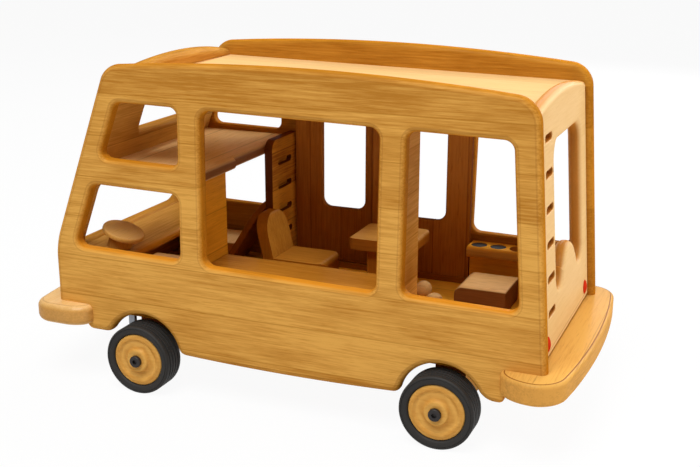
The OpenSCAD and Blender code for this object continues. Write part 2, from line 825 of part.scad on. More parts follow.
// Chair that faces the tail
chair_dir = [-sin(chair_recline), cos(chair_recline)];
chair_pt = [chair_x, floor_z + chair_h];
module chair_seat() {
    low = meet(chair_pt, chair_dir, [0, seat_z], [1, 0]);
    x1 = chair_x + chair_len;
    color(honey)
        intersection() {
            across(chair_y - chair_w / 2, chair_w)
                polygon(rounded([
                    [low.x, low.y, 0],
                    [x1, seat_z, 0],
                    [x1, floor_z + chair_h, 8],
                    [chair_pt.x, chair_pt.y, 0]], 6));
            linear_extrude(floor_z + chair_h + 10)
                polygon(rounded([
                    [chair_x - 20, chair_y - chair_w / 2, 0],
                    [x1, chair_y - chair_w / 2, 14],
                    [x1, chair_y + chair_w / 2, 14],
                    [chair_x - 20, chair_y + chair_w / 2, 0]], 6));
        }
}
module chair_back() {
    low = meet(chair_pt, chair_dir, [0, seat_z], [1, 0]);
    top = meet(chair_pt, chair_dir, [0, floor_z + chair_back_h], [1, 0]);
    shift = [chair_back_t / cos(chair_recline), 0];
    color(honey)
        intersection() {
            across(chair_y - chair_w / 2, chair_w)
                polygon(rounded([
                    concat(low - shift, 0),
                    concat(low, 0),
                    concat(top, 4),
                    concat(top - shift, 4)], 5));
            lengthwise(chair_x - 60, 100)
                polygon(rounded([
                    [chair_y - chair_w / 2, floor_z - 1, 0],
                    [chair_y + chair_w / 2, floor_z - 1, 0],
                    [chair_y + chair_w / 2, floor_z + chair_back_h, 24],
                    [chair_y - chair_w / 2, floor_z + chair_back_h, 24]], 10));
        }
}
module table_top() {
    z = floor_z + table_h;
    x0 = table_x - table_len / 2;
    y0 = table_y - table_w / 2;
    color(honey)
        intersection() {
            across(y0, table_w)
                polygon(box(x0, z - table_t, x0 + table_len, z, 4.5));
            translate([0, 0, z - table_t])
                linear_extrude(table_t)
                    polygon(box(x0, y0, x0 + table_len, y0 + table_w, 10));
        }
}
module table_foot() {
    color(honey)
        block(table_x - foot_len / 2 + 6, table_y - table_w / 2 + 12, seat_z,
              table_x + foot_len / 2 + 6, table_y - table_w / 2 + 12 + foot_w, floor_z + table_h - table_t);
}
module block_seat() {
    color(pale)
        across(block_y, block_w)
            polygon(rounded([
                [block_x, seat_z, 0],
                [block_x + block_len, seat_z, 0],
                [block_x + block_len, seat_z + block_h, 2],
                [block_x, seat_z + block_h, 9]], 6));
}
module ball() {
    color(pale)
        translate([ball_x, 37.3, seat_z + ball_d / 2])
            sphere(d = ball_d);
}
module peg() {
    r = peg_d / 2;
    color(pale)
        translate([peg_x, 17.6, seat_z])
            rotate_extrude()
                polygon(concat([[0, 0], [r, 0]], arc([r - 6, peg_h - 6], 6, 0, 90, 8), [[0, peg_h]]));
}
module kitchen_body() {
    color(honey)
        block(kitchen_x, inner - kitchen_d, floor_z,
              kitchen_x + kitchen_len, inner, floor_z + worktop_h - worktop_t);
}
// Places of the two hob discs and the sink on the worktop
hob_y = inner - worktop_d / 2;
hob_pts = [[kitchen_x + 11.5, hob_y], [kitchen_x + 34, hob_y]];
sink_pt = [kitchen_x + 58, hob_y];
module worktop() {
    z = floor_z + worktop_h;
    color(honey)
        difference() {
            lengthwise(kitchen_x, kitchen_len)
                polygon(rounded([
                    [inner - worktop_d, z - worktop_t, 5],
                    [inner, z - worktop_t, 0],
                    [inner, z, 0],
                    [inner - worktop_d, z, 5]], 6));
            for (p = hob_pts)
                translate([p.x, p.y, z - 2])
                    cylinder(d = hob_d + 0.6, h = 10);
            translate([sink_pt.x, sink_pt.y, z - 6])
                cylinder(d = sink_d, h = 10);
        }
}
module hob_discs() {
    z = floor_z + worktop_h;
    color([0.25, 0.25, 0.26])
        for (p = hob_pts)
            translate([p.x, p.y, z - 2])
                cylinder(d = hob_d, h = 1.2);
}
// Grooved door track; the outer groove is closed by the far panel
module track(z0, h, groove, up) {
    gz = up ? z0 + h - groove : z0 - 1;
    difference() {
        block(track_x0, track_y, z0, track_x1, inner, z0 + h);
        block(track_x0 - 1, track_y + rib_t, gz,
              track_x1 + 1, track_y + rib_t + groove_w, gz + groove + 1);
        block(track_x0 - 1, inner - groove_w, gz,
              track_x1 + 1, inner + 1, gz + groove + 1);
    }
}
module track_bottom() {
    color(honey)
        track(floor_z, track_h, track_h - 2, true);
}
module track_top() {
    color(honey)
        track(track_top_z, track_top_h, 6, false);
}
// Sliding door leaf with its window
module leaf(x0, y0) {
    w0 = x0 + leaf_stile;
    across(y0, leaf_t)
        difference() {
            polygon(box(x0, leaf_z0, x0 + leaf_w, leaf_z1, 2));
            polygon(box(w0, floor_z + leaf_win_low, w0 + leaf_win_w, floor_z + leaf_win_top, 9));
        }
}
module door_front() {
    color(dark)
        leaf(leaf_x_f, leaf_y_out);
}
module door_rear() {
    color(dark)
        leaf(leaf_x_b, leaf_y_in);
}
// Steel straps that carry the front axle
strap_t = 5;
strap_y = inner - 27;
module front_hangers() {
    color([0.45, 0.46, 0.48])
        for (s = [-1, 1])
            difference() {
                across(s * strap_y - strap_t / 2, strap_t)
                    polygon(rounded([
                        [axle_f - 43, axle_z - 7, 5],
                        [axle_f + 9, axle_z - 7, 6],
                        [axle_f + 9, axle_z + 7, 6],
                        [axle_f - 35, axle_z + 7, 3],
                        [axle_f - 35, floor_z - floor_t, 0],
                        [axle_f - 43, floor_z - floor_t, 0]], 5));
                axle_hole(axle_f);
            }
}
// Cross beam under the floor, over the front axle
module front_crossbeam() {
    beam_y = strap_y - strap_t / 2;
    color(dark)
        block(axle_f - 30, -beam_y, axle_z + 12, axle_f + 33, beam_y, floor_z - floor_t);
}
module axle_hole(x) {
    translate([x, -half, axle_z])
        rotate([-90, 0, 0])
            cylinder(d = axle_mid_d + 2 * run_gap, h = body_w);
}
module rear_axle_block() {
    color(dark)
        difference() {
            block(axle_b - 16, -inner + 19.5, axle_z - 12, axle_b + 16, inner - 19.5, floor_z - floor_t);
            axle_hole(axle_b);
        }
}
// Stepped axle: a thick middle and a journal for each wheel
module axle(x) {
    translate([x, 0, axle_z])
        rotate([90, 0, 0]) {
            cylinder(d = axle_d, h = 2 * wheel_out + 0.6, center = true);
            cylinder(d = axle_mid_d, h = 2 * wheel_in - 0.6, center = true);
        }
}
module front_axle() {
    color([0.6, 0.6, 0.62])
        axle(axle_f);
}
module rear_axle() {
    color([0.6, 0.6, 0.62])
        axle(axle_b);
}
// Black cap screws on the axle ends
module axle_caps() {
    color([0.16, 0.15, 0.15])
        for (x = [axle_f, axle_b], s = [-1, 1])
            translate([x, s * (wheel_out + 0.3), axle_z])
                rotate([-90 * s, 0, 0])
                    difference() {
                        rotate_extrude()
                            polygon(rounded([
                                [0, 0, 0],
                                [cap_d / 2, 0, 0],
                                [cap_d / 2, cap_h, 1],
                                [0, cap_h, 0]], 4));
                        translate([0, 0, cap_h - 2.4])
                            cylinder(d = 5.8, h = 5, $fn = 6);
                    }
}
// A wheel's own frame: its inner face at zero, its outer face at the wheel's width
module at_wheel(x, s) {
    translate([x, s * wheel_in, axle_z])
        rotate([-90 * s, 0, 0])
            children();
}
// Turned hub with a raised boss and a shallow ring
module hub(x, s) {
    r = hub_d / 2;
    w = wheel_w;
    bore = axle_d / 2 + run_gap;
    color(honey)
        at_wheel(x, s)
            rotate_extrude()
                polygon(rounded([
                    [bore, 0.3, 0],
                    [r - 2, 0.3, 0],
                    [r - 2, 2, 0],
                    [r, 4, 0],
                    [r, w - 3, 2],
                    [r - 5, w - 2, 2],
                    [r - 8, w - 4, 2],
                    [r - 15, w - 3.4, 3],
                    [r - 17, w - 0.3, 2],
                    [bore, w - 0.3, 0]], 4));
}
// Rubber tyre with round shoulders and tread grooves
module tyre(x, s) {
    r = wheel_d / 2;
    w = wheel_w;
    step = w * 0.6 / tread_count;
    tread = [for (i = [tread_count - 1:-1:0]) let (z = w / 2 + (i - (tread_count - 1) / 2) * step)
        each [[r, z + 0.9, 0], [r - 1.4, z + 0.6, 0], [r - 1.4, z - 0.6, 0], [r, z - 0.9, 0]]];
    color([0.2, 0.2, 0.2])
        at_wheel(x, s)
            rotate_extrude()
                polygon(rounded(concat(
                    [[hub_d / 2 + 0.02, 3, 0], [hub_d / 2 + 0.02, w - 3.4, 0]],
                    [[hub_d / 2 + 3, w - 1, 1.5], [r - 4, w, 3], [r, w - 5, 4]],
                    tread,
                    [[r, 5, 4], [r - 4, 0, 3], [hub_d / 2 + 3, 1, 1.5]]), 5));
}
module hub_front_left() { hub(axle_f, -1); }
module hub_front_right() { hub(axle_f, 1); }
module hub_rear_left() { hub(axle_b, -1); }
module hub_rear_right() { hub(axle_b, 1); }
module tyre_front_left() { tyre(axle_f, -1); }
module tyre_front_right() { tyre(axle_f, 1); }
module tyre_rear_left() { tyre(axle_b, -1); }
module tyre_rear_right() { tyre(axle_b, 1); }
// Red studs, each with a stem in the rear panel
light_pt = meet(rear_out, lean_dir, [0, floor_z + light_h], [1, 0]);
stem_d = 5.6;
module at_lights() {
    for (s = [-1, 1])
        translate([light_pt.x, s * light_y, light_pt.y])
            rotate([0, 90 - lean, 0])
                children();
}
module tail_lights() {
    r = (pow(light_d / 2, 2) + pow(light_dome, 2)) / (2 * light_dome);
    edge = asin(light_d / 2 / r);
    dome = [for (i = [1:8]) r * [sin(edge * (1 - i / 8)), cos(edge * (1 - i / 8))] + [0, light_dome - r]];
    color([0.7, 0.08, 0.06])
        at_lights()
            rotate_extrude()
                polygon(concat([[0, -8], [stem_d / 2, -8], [stem_d / 2, 0], [light_d / 2, 0]], dome));
}

side_left();
side_right();
front_panel();
front_apron();
rear_panel();
roof();
floor_board();
front_bumper();
rear_bumper();
bunk_deck();
cab_wall();
ladder_wall();
hanging_wall();
bench_top();
bench_front();
dashboard();
steering_post();
steering_wheel();
driver_seat();
passenger_seat();
passenger_back();
chair_seat();
chair_back();
table_top();
table_foot();
block_seat();
ball();
peg();
kitchen_body();
worktop();
hob_discs();
track_bottom();
track_top();
door_front();
door_rear();
front_hangers();
front_crossbeam();
rear_axle_block();
front_axle();
rear_axle();
axle_caps();
hub_front_left();
hub_front_right();
hub_rear_left();
hub_rear_right();
tyre_front_left();
tyre_front_right();
tyre_rear_left();
tyre_rear_right();
tail_lights();
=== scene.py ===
import math

import bmesh
import bpy
from bpy.props import FloatProperty, FloatVectorProperty, PointerProperty
from bpy.types import Operator, Panel, PropertyGroup
from mathutils import Matrix, Vector


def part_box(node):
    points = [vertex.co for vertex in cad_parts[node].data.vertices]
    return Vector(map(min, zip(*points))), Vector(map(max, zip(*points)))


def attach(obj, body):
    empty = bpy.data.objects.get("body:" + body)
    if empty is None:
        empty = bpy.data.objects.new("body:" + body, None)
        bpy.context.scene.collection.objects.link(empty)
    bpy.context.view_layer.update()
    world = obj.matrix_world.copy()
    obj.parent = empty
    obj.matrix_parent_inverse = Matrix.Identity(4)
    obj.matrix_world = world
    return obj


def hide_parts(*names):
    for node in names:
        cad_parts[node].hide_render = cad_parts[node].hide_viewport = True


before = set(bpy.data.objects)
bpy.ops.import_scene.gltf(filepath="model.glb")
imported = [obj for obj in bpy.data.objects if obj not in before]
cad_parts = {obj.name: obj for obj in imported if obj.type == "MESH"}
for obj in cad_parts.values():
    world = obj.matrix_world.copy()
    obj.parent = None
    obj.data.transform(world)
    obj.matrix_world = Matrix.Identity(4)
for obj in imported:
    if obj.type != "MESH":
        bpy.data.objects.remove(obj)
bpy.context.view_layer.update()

bl_info = {
    "name": "Wooden Camper Van",
    "version": (1, 0, 0),
    "blender": (4, 5, 0),
    "location": "View3D > Sidebar > Camper Van",
    "description": "Dresses a toy camper van of glued boards in oiled wood",
    "category": "Object",
}

MM = 0.001


def box_mm(node):
    """Lowest and highest corner of a CAD node, in millimetres."""
    return [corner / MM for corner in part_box(node)]


# Places taken from the frame, in millimetres
SIDE_LOW, SIDE_HIGH = box_mm("side_left")
NOSE = SIDE_LOW.x
TAIL = SIDE_HIGH.x
HALF = -SIDE_LOW.y
BOARD = SIDE_HIGH.y - SIDE_LOW.y
INNER = HALF - BOARD
FLOOR = box_mm("floor_board")[1].z
TYRE_LOW, TYRE_HIGH = box_mm("tyre_front_left")
WHEEL_R = (TYRE_HIGH.z - TYRE_LOW.z) / 2
WHEEL_OUT = -TYRE_LOW.y
WHEEL_IN = -TYRE_HIGH.y
AXLE_Z = WHEEL_R
AXLE_F = (TYRE_LOW.x + TYRE_HIGH.x) / 2
AXLE_B = sum(corner.x for corner in box_mm("tyre_rear_left")) / 2

# Lines of the side view: the roof runs nose-up, the screen is raked, the tail leans
PITCH = math.radians(0.96)
RAKE = math.radians(20.8)
LEAN = math.radians(4.25)
ALONG = Vector((math.cos(PITCH), -math.sin(PITCH)))
UPWARD = Vector((math.sin(PITCH), math.cos(PITCH)))
RAKE_DIR = Vector((math.sin(RAKE), math.cos(RAKE)))
LEAN_DIR = Vector((-math.sin(LEAN), math.cos(LEAN)))

# Side panels: knee of the nose, notches over the bumpers, ends of the long top arch
KNEE_Z = FLOOR + 65
KNEE_R = 80
CUT_F = NOSE + 34
CUT_B = TAIL - 40.5
CROWN = 273
CROWN_R = 2400
CROWN_X = 35
RIDGE_F = NOSE + 115
RIDGE_B = TAIL - 68
NOSE_TOP_R = 24
TAIL_TOP_R = 26

# Lower edge of the side panels: sagging sill, arches and the lobes outside them
SILL = 46.5
SAG = 2.6
SILL_INSET = 12.5
LOBE_F = 60
LOBE_B = 53.5
LOBE_R_F = 9
LOBE_R_B = 5
ARCH_LIFT = 2.5

# Windows of the side panels: posts, rims, and heights above the floor
POST_1 = NOSE + 168
POST_2 = TAIL - 162
POST_W = 27
RIM = 25.5
WINDOW_TOP = 223.5
CAB_LOW = 60.5
CAB_TOP = 133
REAR_LOW = 61

# End panels: outer feet, tops above the floor and the rise of their arched tops
FRONT_OUT = Vector((NOSE + 7, KNEE_Z))
REAR_OUT = Vector((TAIL - 6.5, FLOOR))
FRONT_TOP = 266
REAR_TOP = 253
END_ARCH = 10.5

# Openings of the front panel: half width, foot and head above the floor, corner radius
SCREEN = (102, 62, 136, 11)
BUNK_LIGHT = (54, 184, 220, 9)

# Tolerances for picking edges
ON_FACE = 0.01
ON_LINE = 0.1
ON_SEAT = 0.2


def linear(hex_colour):
    """Linear red, green and blue of an sRGB hex colour."""
    parts = [int(hex_colour[i:i + 2], 16) / 255 for i in (0, 2, 4)]
    return tuple(p / 12.92 if p <= 0.04045 else ((p + 0.055) / 1.055) ** 2.4 for p in parts)


def colour(label, text, hex_colour):
    """A colour property with its sRGB default."""
    return FloatVectorProperty(name=label, description=text, subtype="COLOR", size=3,
                               min=0, max=1, default=linear(hex_colour))


class VanSizes(PropertyGroup):
    roundover: FloatProperty(
        name="Panel roundover", description="Radius worked along the edges of the big panels",
        default=0.0065, min=0.002, max=0.007, unit="LENGTH")
    easing: FloatProperty(
        name="Small easing", description="Radius on the edges of inside boards",
        default=0.0016, min=0.0004, max=0.003, unit="LENGTH")
    strip: FloatProperty(
        name="Strip width", description="Width of the strips that the panels are glued from",
        default=0.0451, min=0.02, max=0.09, unit="LENGTH")


class VanFinishes(PropertyGroup):
    honey: colour("Honey wood", "Oiled alder of the panels", "DAA24E")
    honey_deep: colour("Honey wood streaks", "Late growth in the oiled alder", "B0752A")
    honey_cut: colour("Honey wood cut edges", "Roundovers and end grain, where oil soaks in", "C8801A")
    amber: colour("Amber wood", "Oiled alder of the furniture", "BE822E")
    amber_deep: colour("Amber wood streaks", "Late growth in the furniture wood", "9A6018")
    amber_cut: colour("Amber wood cut edges", "Roundovers of the furniture wood", "A05C12")
    inner: colour("Inner wood", "Oiled alder of floor, kitchen and inner walls", "E49A28")
    inner_light: colour("Inner wood lights", "Early growth in floor and kitchen", "FAB83C")
    inner_deep: colour("Inner wood streaks", "Late growth in the inner walls", "C07A14")
    inner_cut: colour("Inner wood cut edges", "Roundovers of the inner walls", "A8640C")
    warm: colour("Warm wood", "Light alder of bumpers and wheel hubs", "DBA653")
    warm_deep: colour("Warm wood streaks", "Late growth in the light alder", "BE8337")
    warm_cut: colour("Warm wood cut edges", "Roundovers of the light alder", "CB9244")
    pale: colour("Pale wood", "Light birch of the rear panel and roof", "F0C88C")
    pale_deep: colour("Pale wood streaks", "Late growth in the light birch", "DDAC68")
    pale_cut: colour("Pale wood cut edges", "Roundovers of the light birch", "CC8228")
    # On the doors, the brown colours are partly painted shade: a darker copy of the honey alder
    brown: colour("Brown wood", "Dark oiled wood of doors and cross beam", "BE7C30")
    brown_deep: colour("Brown wood streaks", "Late growth in the dark wood", "925216")
    # brown_cut also paints the shade on the sides of the block seat and the axle block
    brown_cut: colour("Brown wood cut edges", "Roundovers of the dark wood", "6E360A")
    ladder: colour("Ladder wood", "Early growth in the dark wood of the ladder board", "D8902C")
    rubber: colour("Tyre rubber", "Charcoal rubber of the tyres", "272523")
    steel: colour("Steel", "Straps and axles", "8D9096")
    black: colour("Black screws", "Blackened cap screws", "34302F")
    red: colour("Red studs", "Lacquered tail lights", "DA3412")
    hob: colour("Hob discs", "Blackened steel discs in the worktop", "2E2D2B")


# Outlines: lists of points with a corner radius each, in millimetres

def meet(p, u, q, v):
    """Where the line through p along u meets the line through q along v."""
    return p + u * ((q - p).cross(v) / u.cross(v))


def body_point(x, z):
    """A point of the pitched body in the ground frame."""
    return ALONG * x + UPWARD * z


def level(h):
    """A point at a height above the floor, measured square to the pitched body."""
    return body_point(0, FLOOR + h)


def crown(x):
    """Height of the long top arch."""
    return FLOOR + CROWN - (x - CROWN_X) ** 2 / (2 * CROWN_R)


def on_crown(p, u):
    """Where a line meets the long top arch."""
    spot = meet(level(CROWN), ALONG, p, u)
    for _ in range(4):
        spot = meet(body_point(0, crown(spot.dot(ALONG))), ALONG, p, u)
    return spot


def arc(cx, cy, radius, start, end, steps):
    """Points on an arc, angles in degrees, each with no corner radius."""
    turns = [math.radians(start + (end - start) * i / steps) for i in range(steps + 1)]
    return [(cx + radius * math.cos(t), cy + radius * math.sin(t), 0) for t in turns]


def wheel_arch(x, gap, z0, r0, z1, r1):
    """Lower edge over one wheel, with an S at each end of the arch."""
    radius = WHEEL_R + gap
    z = AXLE_Z + ARCH_LIFT
    h0 = z0 + r0 - z
    h1 = z1 + r1 - z
    w0 = math.sqrt((radius + r0) ** 2 - h0 * h0)
    w1 = math.sqrt((radius + r1) ** 2 - h1 * h1)
    t0 = math.degrees(math.atan2(h0, -w0))
    t1 = math.degrees(math.atan2(h1, w1))
    return (arc(x - w0, z0 + r0, r0, -90, t0 - 180, 8)
            + arc(x, z, radius, t0, t1, 36)
            + arc(x + w1, z1 + r1, r1, t1 + 180, 270, 8))


def side_outline():
    """Outline of a side panel, from the lobe ahead of the front wheel to the nose."""
    tail_top = on_crown(Vector((TAIL, FLOOR)), LEAN_DIR)
    nose_top = on_crown(Vector((NOSE, KNEE_Z)), RAKE_DIR)
    x0 = AXLE_F + WHEEL_R + SILL_INSET
    x1 = AXLE_B - WHEEL_R - SILL_INSET
    sill = [(x0 + (x1 - x0) * i / 12, SILL - SAG * (1 - (i / 6 - 1) ** 2), 0) for i in range(1, 12)]
    ridge_run = [RIDGE_B - (RIDGE_B - RIDGE_F) * i / 14 for i in range(15)]
    ridge = [(*body_point(x, crown(x)), 0) for x in ridge_run]
    return ([(CUT_F, LOBE_F, LOBE_R_F)]
            + wheel_arch(AXLE_F, gap=6.5, z0=LOBE_F, r0=14, z1=SILL, r1=10) + sill
            + wheel_arch(AXLE_B, gap=5.0, z0=SILL, r0=9, z1=LOBE_B, r1=20)
            + [(CUT_B, LOBE_B, LOBE_R_B), (CUT_B, FLOOR, 0), (TAIL, FLOOR, 0), (*tail_top, TAIL_TOP_R)]
            + ridge
            + [(*nose_top, NOSE_TOP_R), (NOSE, KNEE_Z, KNEE_R), (NOSE, FLOOR, 0), (CUT_F, FLOOR, 0)])


def window(low, high, front, rear, radius):
    """A side window between two body levels and two edge lines, each a point and a direction."""
    corners = ((low, front), (low, rear), (high, rear), (high, front))
    return [(*meet(level(h), ALONG, *line), radius) for h, line in corners]


def side_windows(bunk_low, mid_low):
    """Bunk, cab, middle and rear opening of a side panel."""
    nose_rim = (Vector((NOSE + RIM, KNEE_Z)), RAKE_DIR)
    tail_rim = (Vector((TAIL - RIM, FLOOR)), LEAN_DIR)
    cab_post, mid_front, mid_rear, rear_post = (
        (body_point(x, 0), UPWARD)
        for x in (POST_1 - POST_W / 2, POST_1 + POST_W / 2, POST_2 - POST_W / 2, POST_2 + POST_W / 2))
    return [window(bunk_low, WINDOW_TOP, nose_rim, cab_post, radius=9),
            window(CAB_LOW, CAB_TOP, nose_rim, cab_post, radius=10),
            window(mid_low, WINDOW_TOP, mid_front, mid_rear, radius=11),
            window(REAR_LOW, WINDOW_TOP, rear_post, tail_rim, radius=10)]


def box_outline(u0, v0, u1, v1, radius):
    """A rectangle with rounded corners."""
    return [(u0, v0, radius), (u1, v0, radius), (u1, v1, radius), (u0, v1, radius)]


def slot_outline(u, v, width, height):
    """A slot with round ends about a middle point."""
    r = height / 2
    return arc(u + width / 2 - r, v, r, -90, 90, 8) + arc(u - width / 2 + r, v, r, 90, 270, 8)


# Mesh making

FACING = {
    "X": Matrix(((0, 0, 1, 0), (1, 0, 0, 0), (0, 1, 0, 0), (0, 0, 0, 1))),
    "Y": Matrix(((1, 0, 0, 0), (0, 0, 1, 0), (0, 1, 0, 0), (0, 0, 0, 1))),
    "Z": Matrix.Identity(4),
}


def frame_matrix(origin, u, v, w):
    """Matrix that lays a board's own u, v, w directions at an origin, all in millimetres."""
    return Matrix.Translation(origin) @ Matrix((u, v, w)).transposed().to_4x4()


def key_of(u, v):
    """A point of an outline to the hundredth of a millimetre."""
    return (round(u, 2), round(v, 2))


def ring_of(bm, corners):
    """Edges of one outline: a flat face whose corners are bevelled to their radius."""
    shortest = 0.05
    corners = [c for i, c in enumerate(corners) if math.dist(c[:2], corners[i - 1][:2]) > shortest]
    verts = [bm.verts.new((c[0], c[1], 0)) for c in corners]
    face = bm.faces.new(verts)
    for i, vert in enumerate(verts):
        radius = corners[i][2]
        if radius <= 0:
            continue
        here = Vector(corners[i][:2])
        back = (Vector(corners[i - 1][:2]) - here).normalized()
        ahead = (Vector(corners[(i + 1) % len(corners)][:2]) - here).normalized()
        reach = radius / math.tan(back.angle(ahead) / 2)
        bmesh.ops.bevel(bm, geom=[vert], offset=reach, offset_type="OFFSET", segments=10, profile=0.5,
                        affect="VERTICES", clamp_overlap=False, material=-1)
    face = [f for f in bm.faces if f.is_valid][-1]
    edges = list(face.edges)
    bmesh.ops.delete(bm, geom=[face], context="FACES_ONLY")
    return edges


def plate(outer, holes, lay, low, high, soft, hole_soft=None, sharp=None, segments=7):
    """A board cut to an outline with openings, its edges rounded over.

    It lies square to an axis, or where a matrix lays it. A roundover is one radius, or a pair
    for the low and the high face.
    """
    bm = bmesh.new()
    keys = []
    edges = []
    for corners in [outer] + holes:
        ring = ring_of(bm, corners)
        keys.append({key_of(v.co.x, v.co.y) for e in ring for v in e.verts})
        edges += ring
    bmesh.ops.triangle_fill(bm, use_beauty=True, use_dissolve=True, edges=edges)
    bmesh.ops.translate(bm, verts=bm.verts, vec=(0, 0, low))
    lifted = bmesh.ops.extrude_face_region(bm, geom=bm.faces[:])
    top = [g for g in lifted["geom"] if isinstance(g, bmesh.types.BMVert)]
    bmesh.ops.translate(bm, verts=top, vec=(0, 0, high - low))
    bmesh.ops.recalc_face_normals(bm, faces=bm.faces)
    for known, width in zip(keys, [soft] + (hole_soft or [soft] * len(holes))):
        pair = width if isinstance(width, tuple) else (width, width)
        for side, radius in zip((low, high), pair):
            chosen = rim_edges(bm, side, known, sharp)
            bmesh.ops.bevel(bm, geom=chosen, offset=radius, offset_type="OFFSET", segments=segments,
                            profile=0.5, affect="EDGES", clamp_overlap=False, loop_slide=False, material=-1)
    bmesh.ops.transform(bm, matrix=FACING[lay] if isinstance(lay, str) else lay, verts=bm.verts)
    bmesh.ops.recalc_face_normals(bm, faces=bm.faces)
    return bm


def rim_edges(bm, side, known, sharp):
    """Edges where one face of a board meets the wall of one outline."""
    chosen = []
    for e in bm.edges:
        a, b = (v.co for v in e.verts)
        if abs(a.z - side) > ON_FACE or abs(b.z - side) > ON_FACE or len(e.link_faces) != 2:
            continue
        flat = sum(abs(f.normal.z) > 0.99 for f in e.link_faces)
        if flat != 1 or key_of(a.x, a.y) not in known or key_of(b.x, b.y) not in known:
            continue
        if not (sharp and sharp((a + b) / 2)):
            chosen.append(e)
    return chosen


def eased(node, width):
    """A merged copy of a CAD board with its sharp edges eased."""
    bm = bmesh.new()
    bm.from_mesh(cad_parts[node].data)
    bmesh.ops.scale(bm, vec=(1 / MM,) * 3, verts=bm.verts)
    bmesh.ops.remove_doubles(bm, verts=bm.verts, dist=0.005)
    bmesh.ops.dissolve_limit(bm, angle_limit=math.radians(0.4), verts=bm.verts, edges=bm.edges)
    sharp = math.radians(35)
    chosen = [e for e in bm.edges
              if len(e.link_faces) == 2 and e.calc_face_angle() > sharp and e.is_convex]
    bmesh.ops.bevel(bm, geom=chosen, offset=width, offset_type="OFFSET", segments=3, profile=0.5,
                    affect="EDGES", clamp_overlap=True, loop_slide=True, material=-1)
    return bm


def turned(profile, lay):
    """A lathe piece: a closed profile of (radius, height) points spun about its own axis."""
    bm = bmesh.new()
    verts = [bm.verts.new((r, 0, h)) for r, h in profile]
    edges = [bm.edges.new((verts[i], verts[i + 1])) for i in range(len(verts) - 1)]
    bmesh.ops.spin(bm, geom=verts + edges, cent=(0, 0, 0), axis=(0, 0, 1), dvec=(0, 0, 0),
                   angle=math.tau, steps=96, use_merge=True, use_duplicate=False)
    bmesh.ops.remove_doubles(bm, verts=bm.verts, dist=0.002)
    bmesh.ops.transform(bm, matrix=lay, verts=bm.verts)
    bmesh.ops.recalc_face_normals(bm, faces=bm.faces)
    return bm


def place(bm, name, body, material, node):
    """Turns a mesh in millimetres into a piece that rides on a body and stands for a CAD node."""
    bmesh.ops.scale(bm, vec=(MM,) * 3, verts=bm.verts)
    mesh = bpy.data.meshes.new(name)
    for f in bm.faces:
        f.smooth = True
    bm.to_mesh(mesh)
    bm.free()
    mesh.set_sharp_from_angle(angle=math.radians(42))
    mesh.materials.append(material)
    piece = bpy.data.objects.new(name, mesh)
    bpy.context.scene.collection.objects.link(piece)
    shade = piece.modifiers.new("Face weighted normals", "WEIGHTED_NORMAL")
    shade.weight = 80
    shade.keep_sharp = True
    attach(piece, body)
    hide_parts(node)


def board(node, width, name, material, body="van"):
    """Makes an eased copy of a CAD board a piece of its own."""
    place(eased(node, width), name, body, material, node)


def dress(material, *nodes):
    """Gives CAD nodes whose shape is right a finish."""
    for name in nodes:
        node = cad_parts[name]
        if not node.material_slots:
            node.data.materials.append(material)
        for holder in node.material_slots:
            holder.material = material


# Materials

TURN = {"X": (0, 0, 0), "Y": (0, 0, -math.pi / 2), "Z": (0, math.pi / 2, 0)}
AXIS = {"X": (1, 0, 0), "Y": (0, 1, 0), "Z": (0, 0, 1)}
# A piece cut from one strip, with no glue line in it
ONE_STRIP = {"strip": 0.3, "start": -0.1}


def add(tree, kind, sets=None, links=None):
    """Adds a shader node with its settings and values, and links it from sockets or nodes.

    A kind can carry its operation or data type after a point. A node as a source stands for
    its first live output.
    """
    kind, _, mode = kind.partition(".")
    made = tree.nodes.new("ShaderNode" + kind)
    if mode:
        setattr(made, "data_type" if kind == "Mix" else "operation", mode)
    for key, value in (sets or {}).items():
        if isinstance(key, int) or key in made.inputs:
            made.inputs[key].default_value = value
        else:
            setattr(made, key, value)
    for key, source in (links or {}).items():
        if isinstance(source, bpy.types.Node):
            source = next(socket for socket in source.outputs if socket.enabled)
        tree.links.new(source, made.inputs[key])
    return made


def blank(name):
    """A new material with no nodes yet."""
    material = bpy.data.materials.get(name) or bpy.data.materials.new(name)
    material.use_nodes = True
    material.node_tree.nodes.clear()
    return material, material.node_tree


def finishes():
    """The colours that a user can change."""
    return bpy.context.scene.van_finishes


def tones(names):
    """Light, deep and cut colour of a wood: one finish's own three, or three picked by name."""
    names = names.split()
    if len(names) == 1:
        names = [names[0] + part for part in ("", "_deep", "_cut")]
    return [getattr(finishes(), name) for name in names]


def shaded(base, share=1.0):
    """A socket's colour: a base times one share, or times a share for each part."""
    shares = share if isinstance(share, tuple) else (share,) * 3
    return (*(min(1, c * k) for c, k in zip(base, shares)), 1)


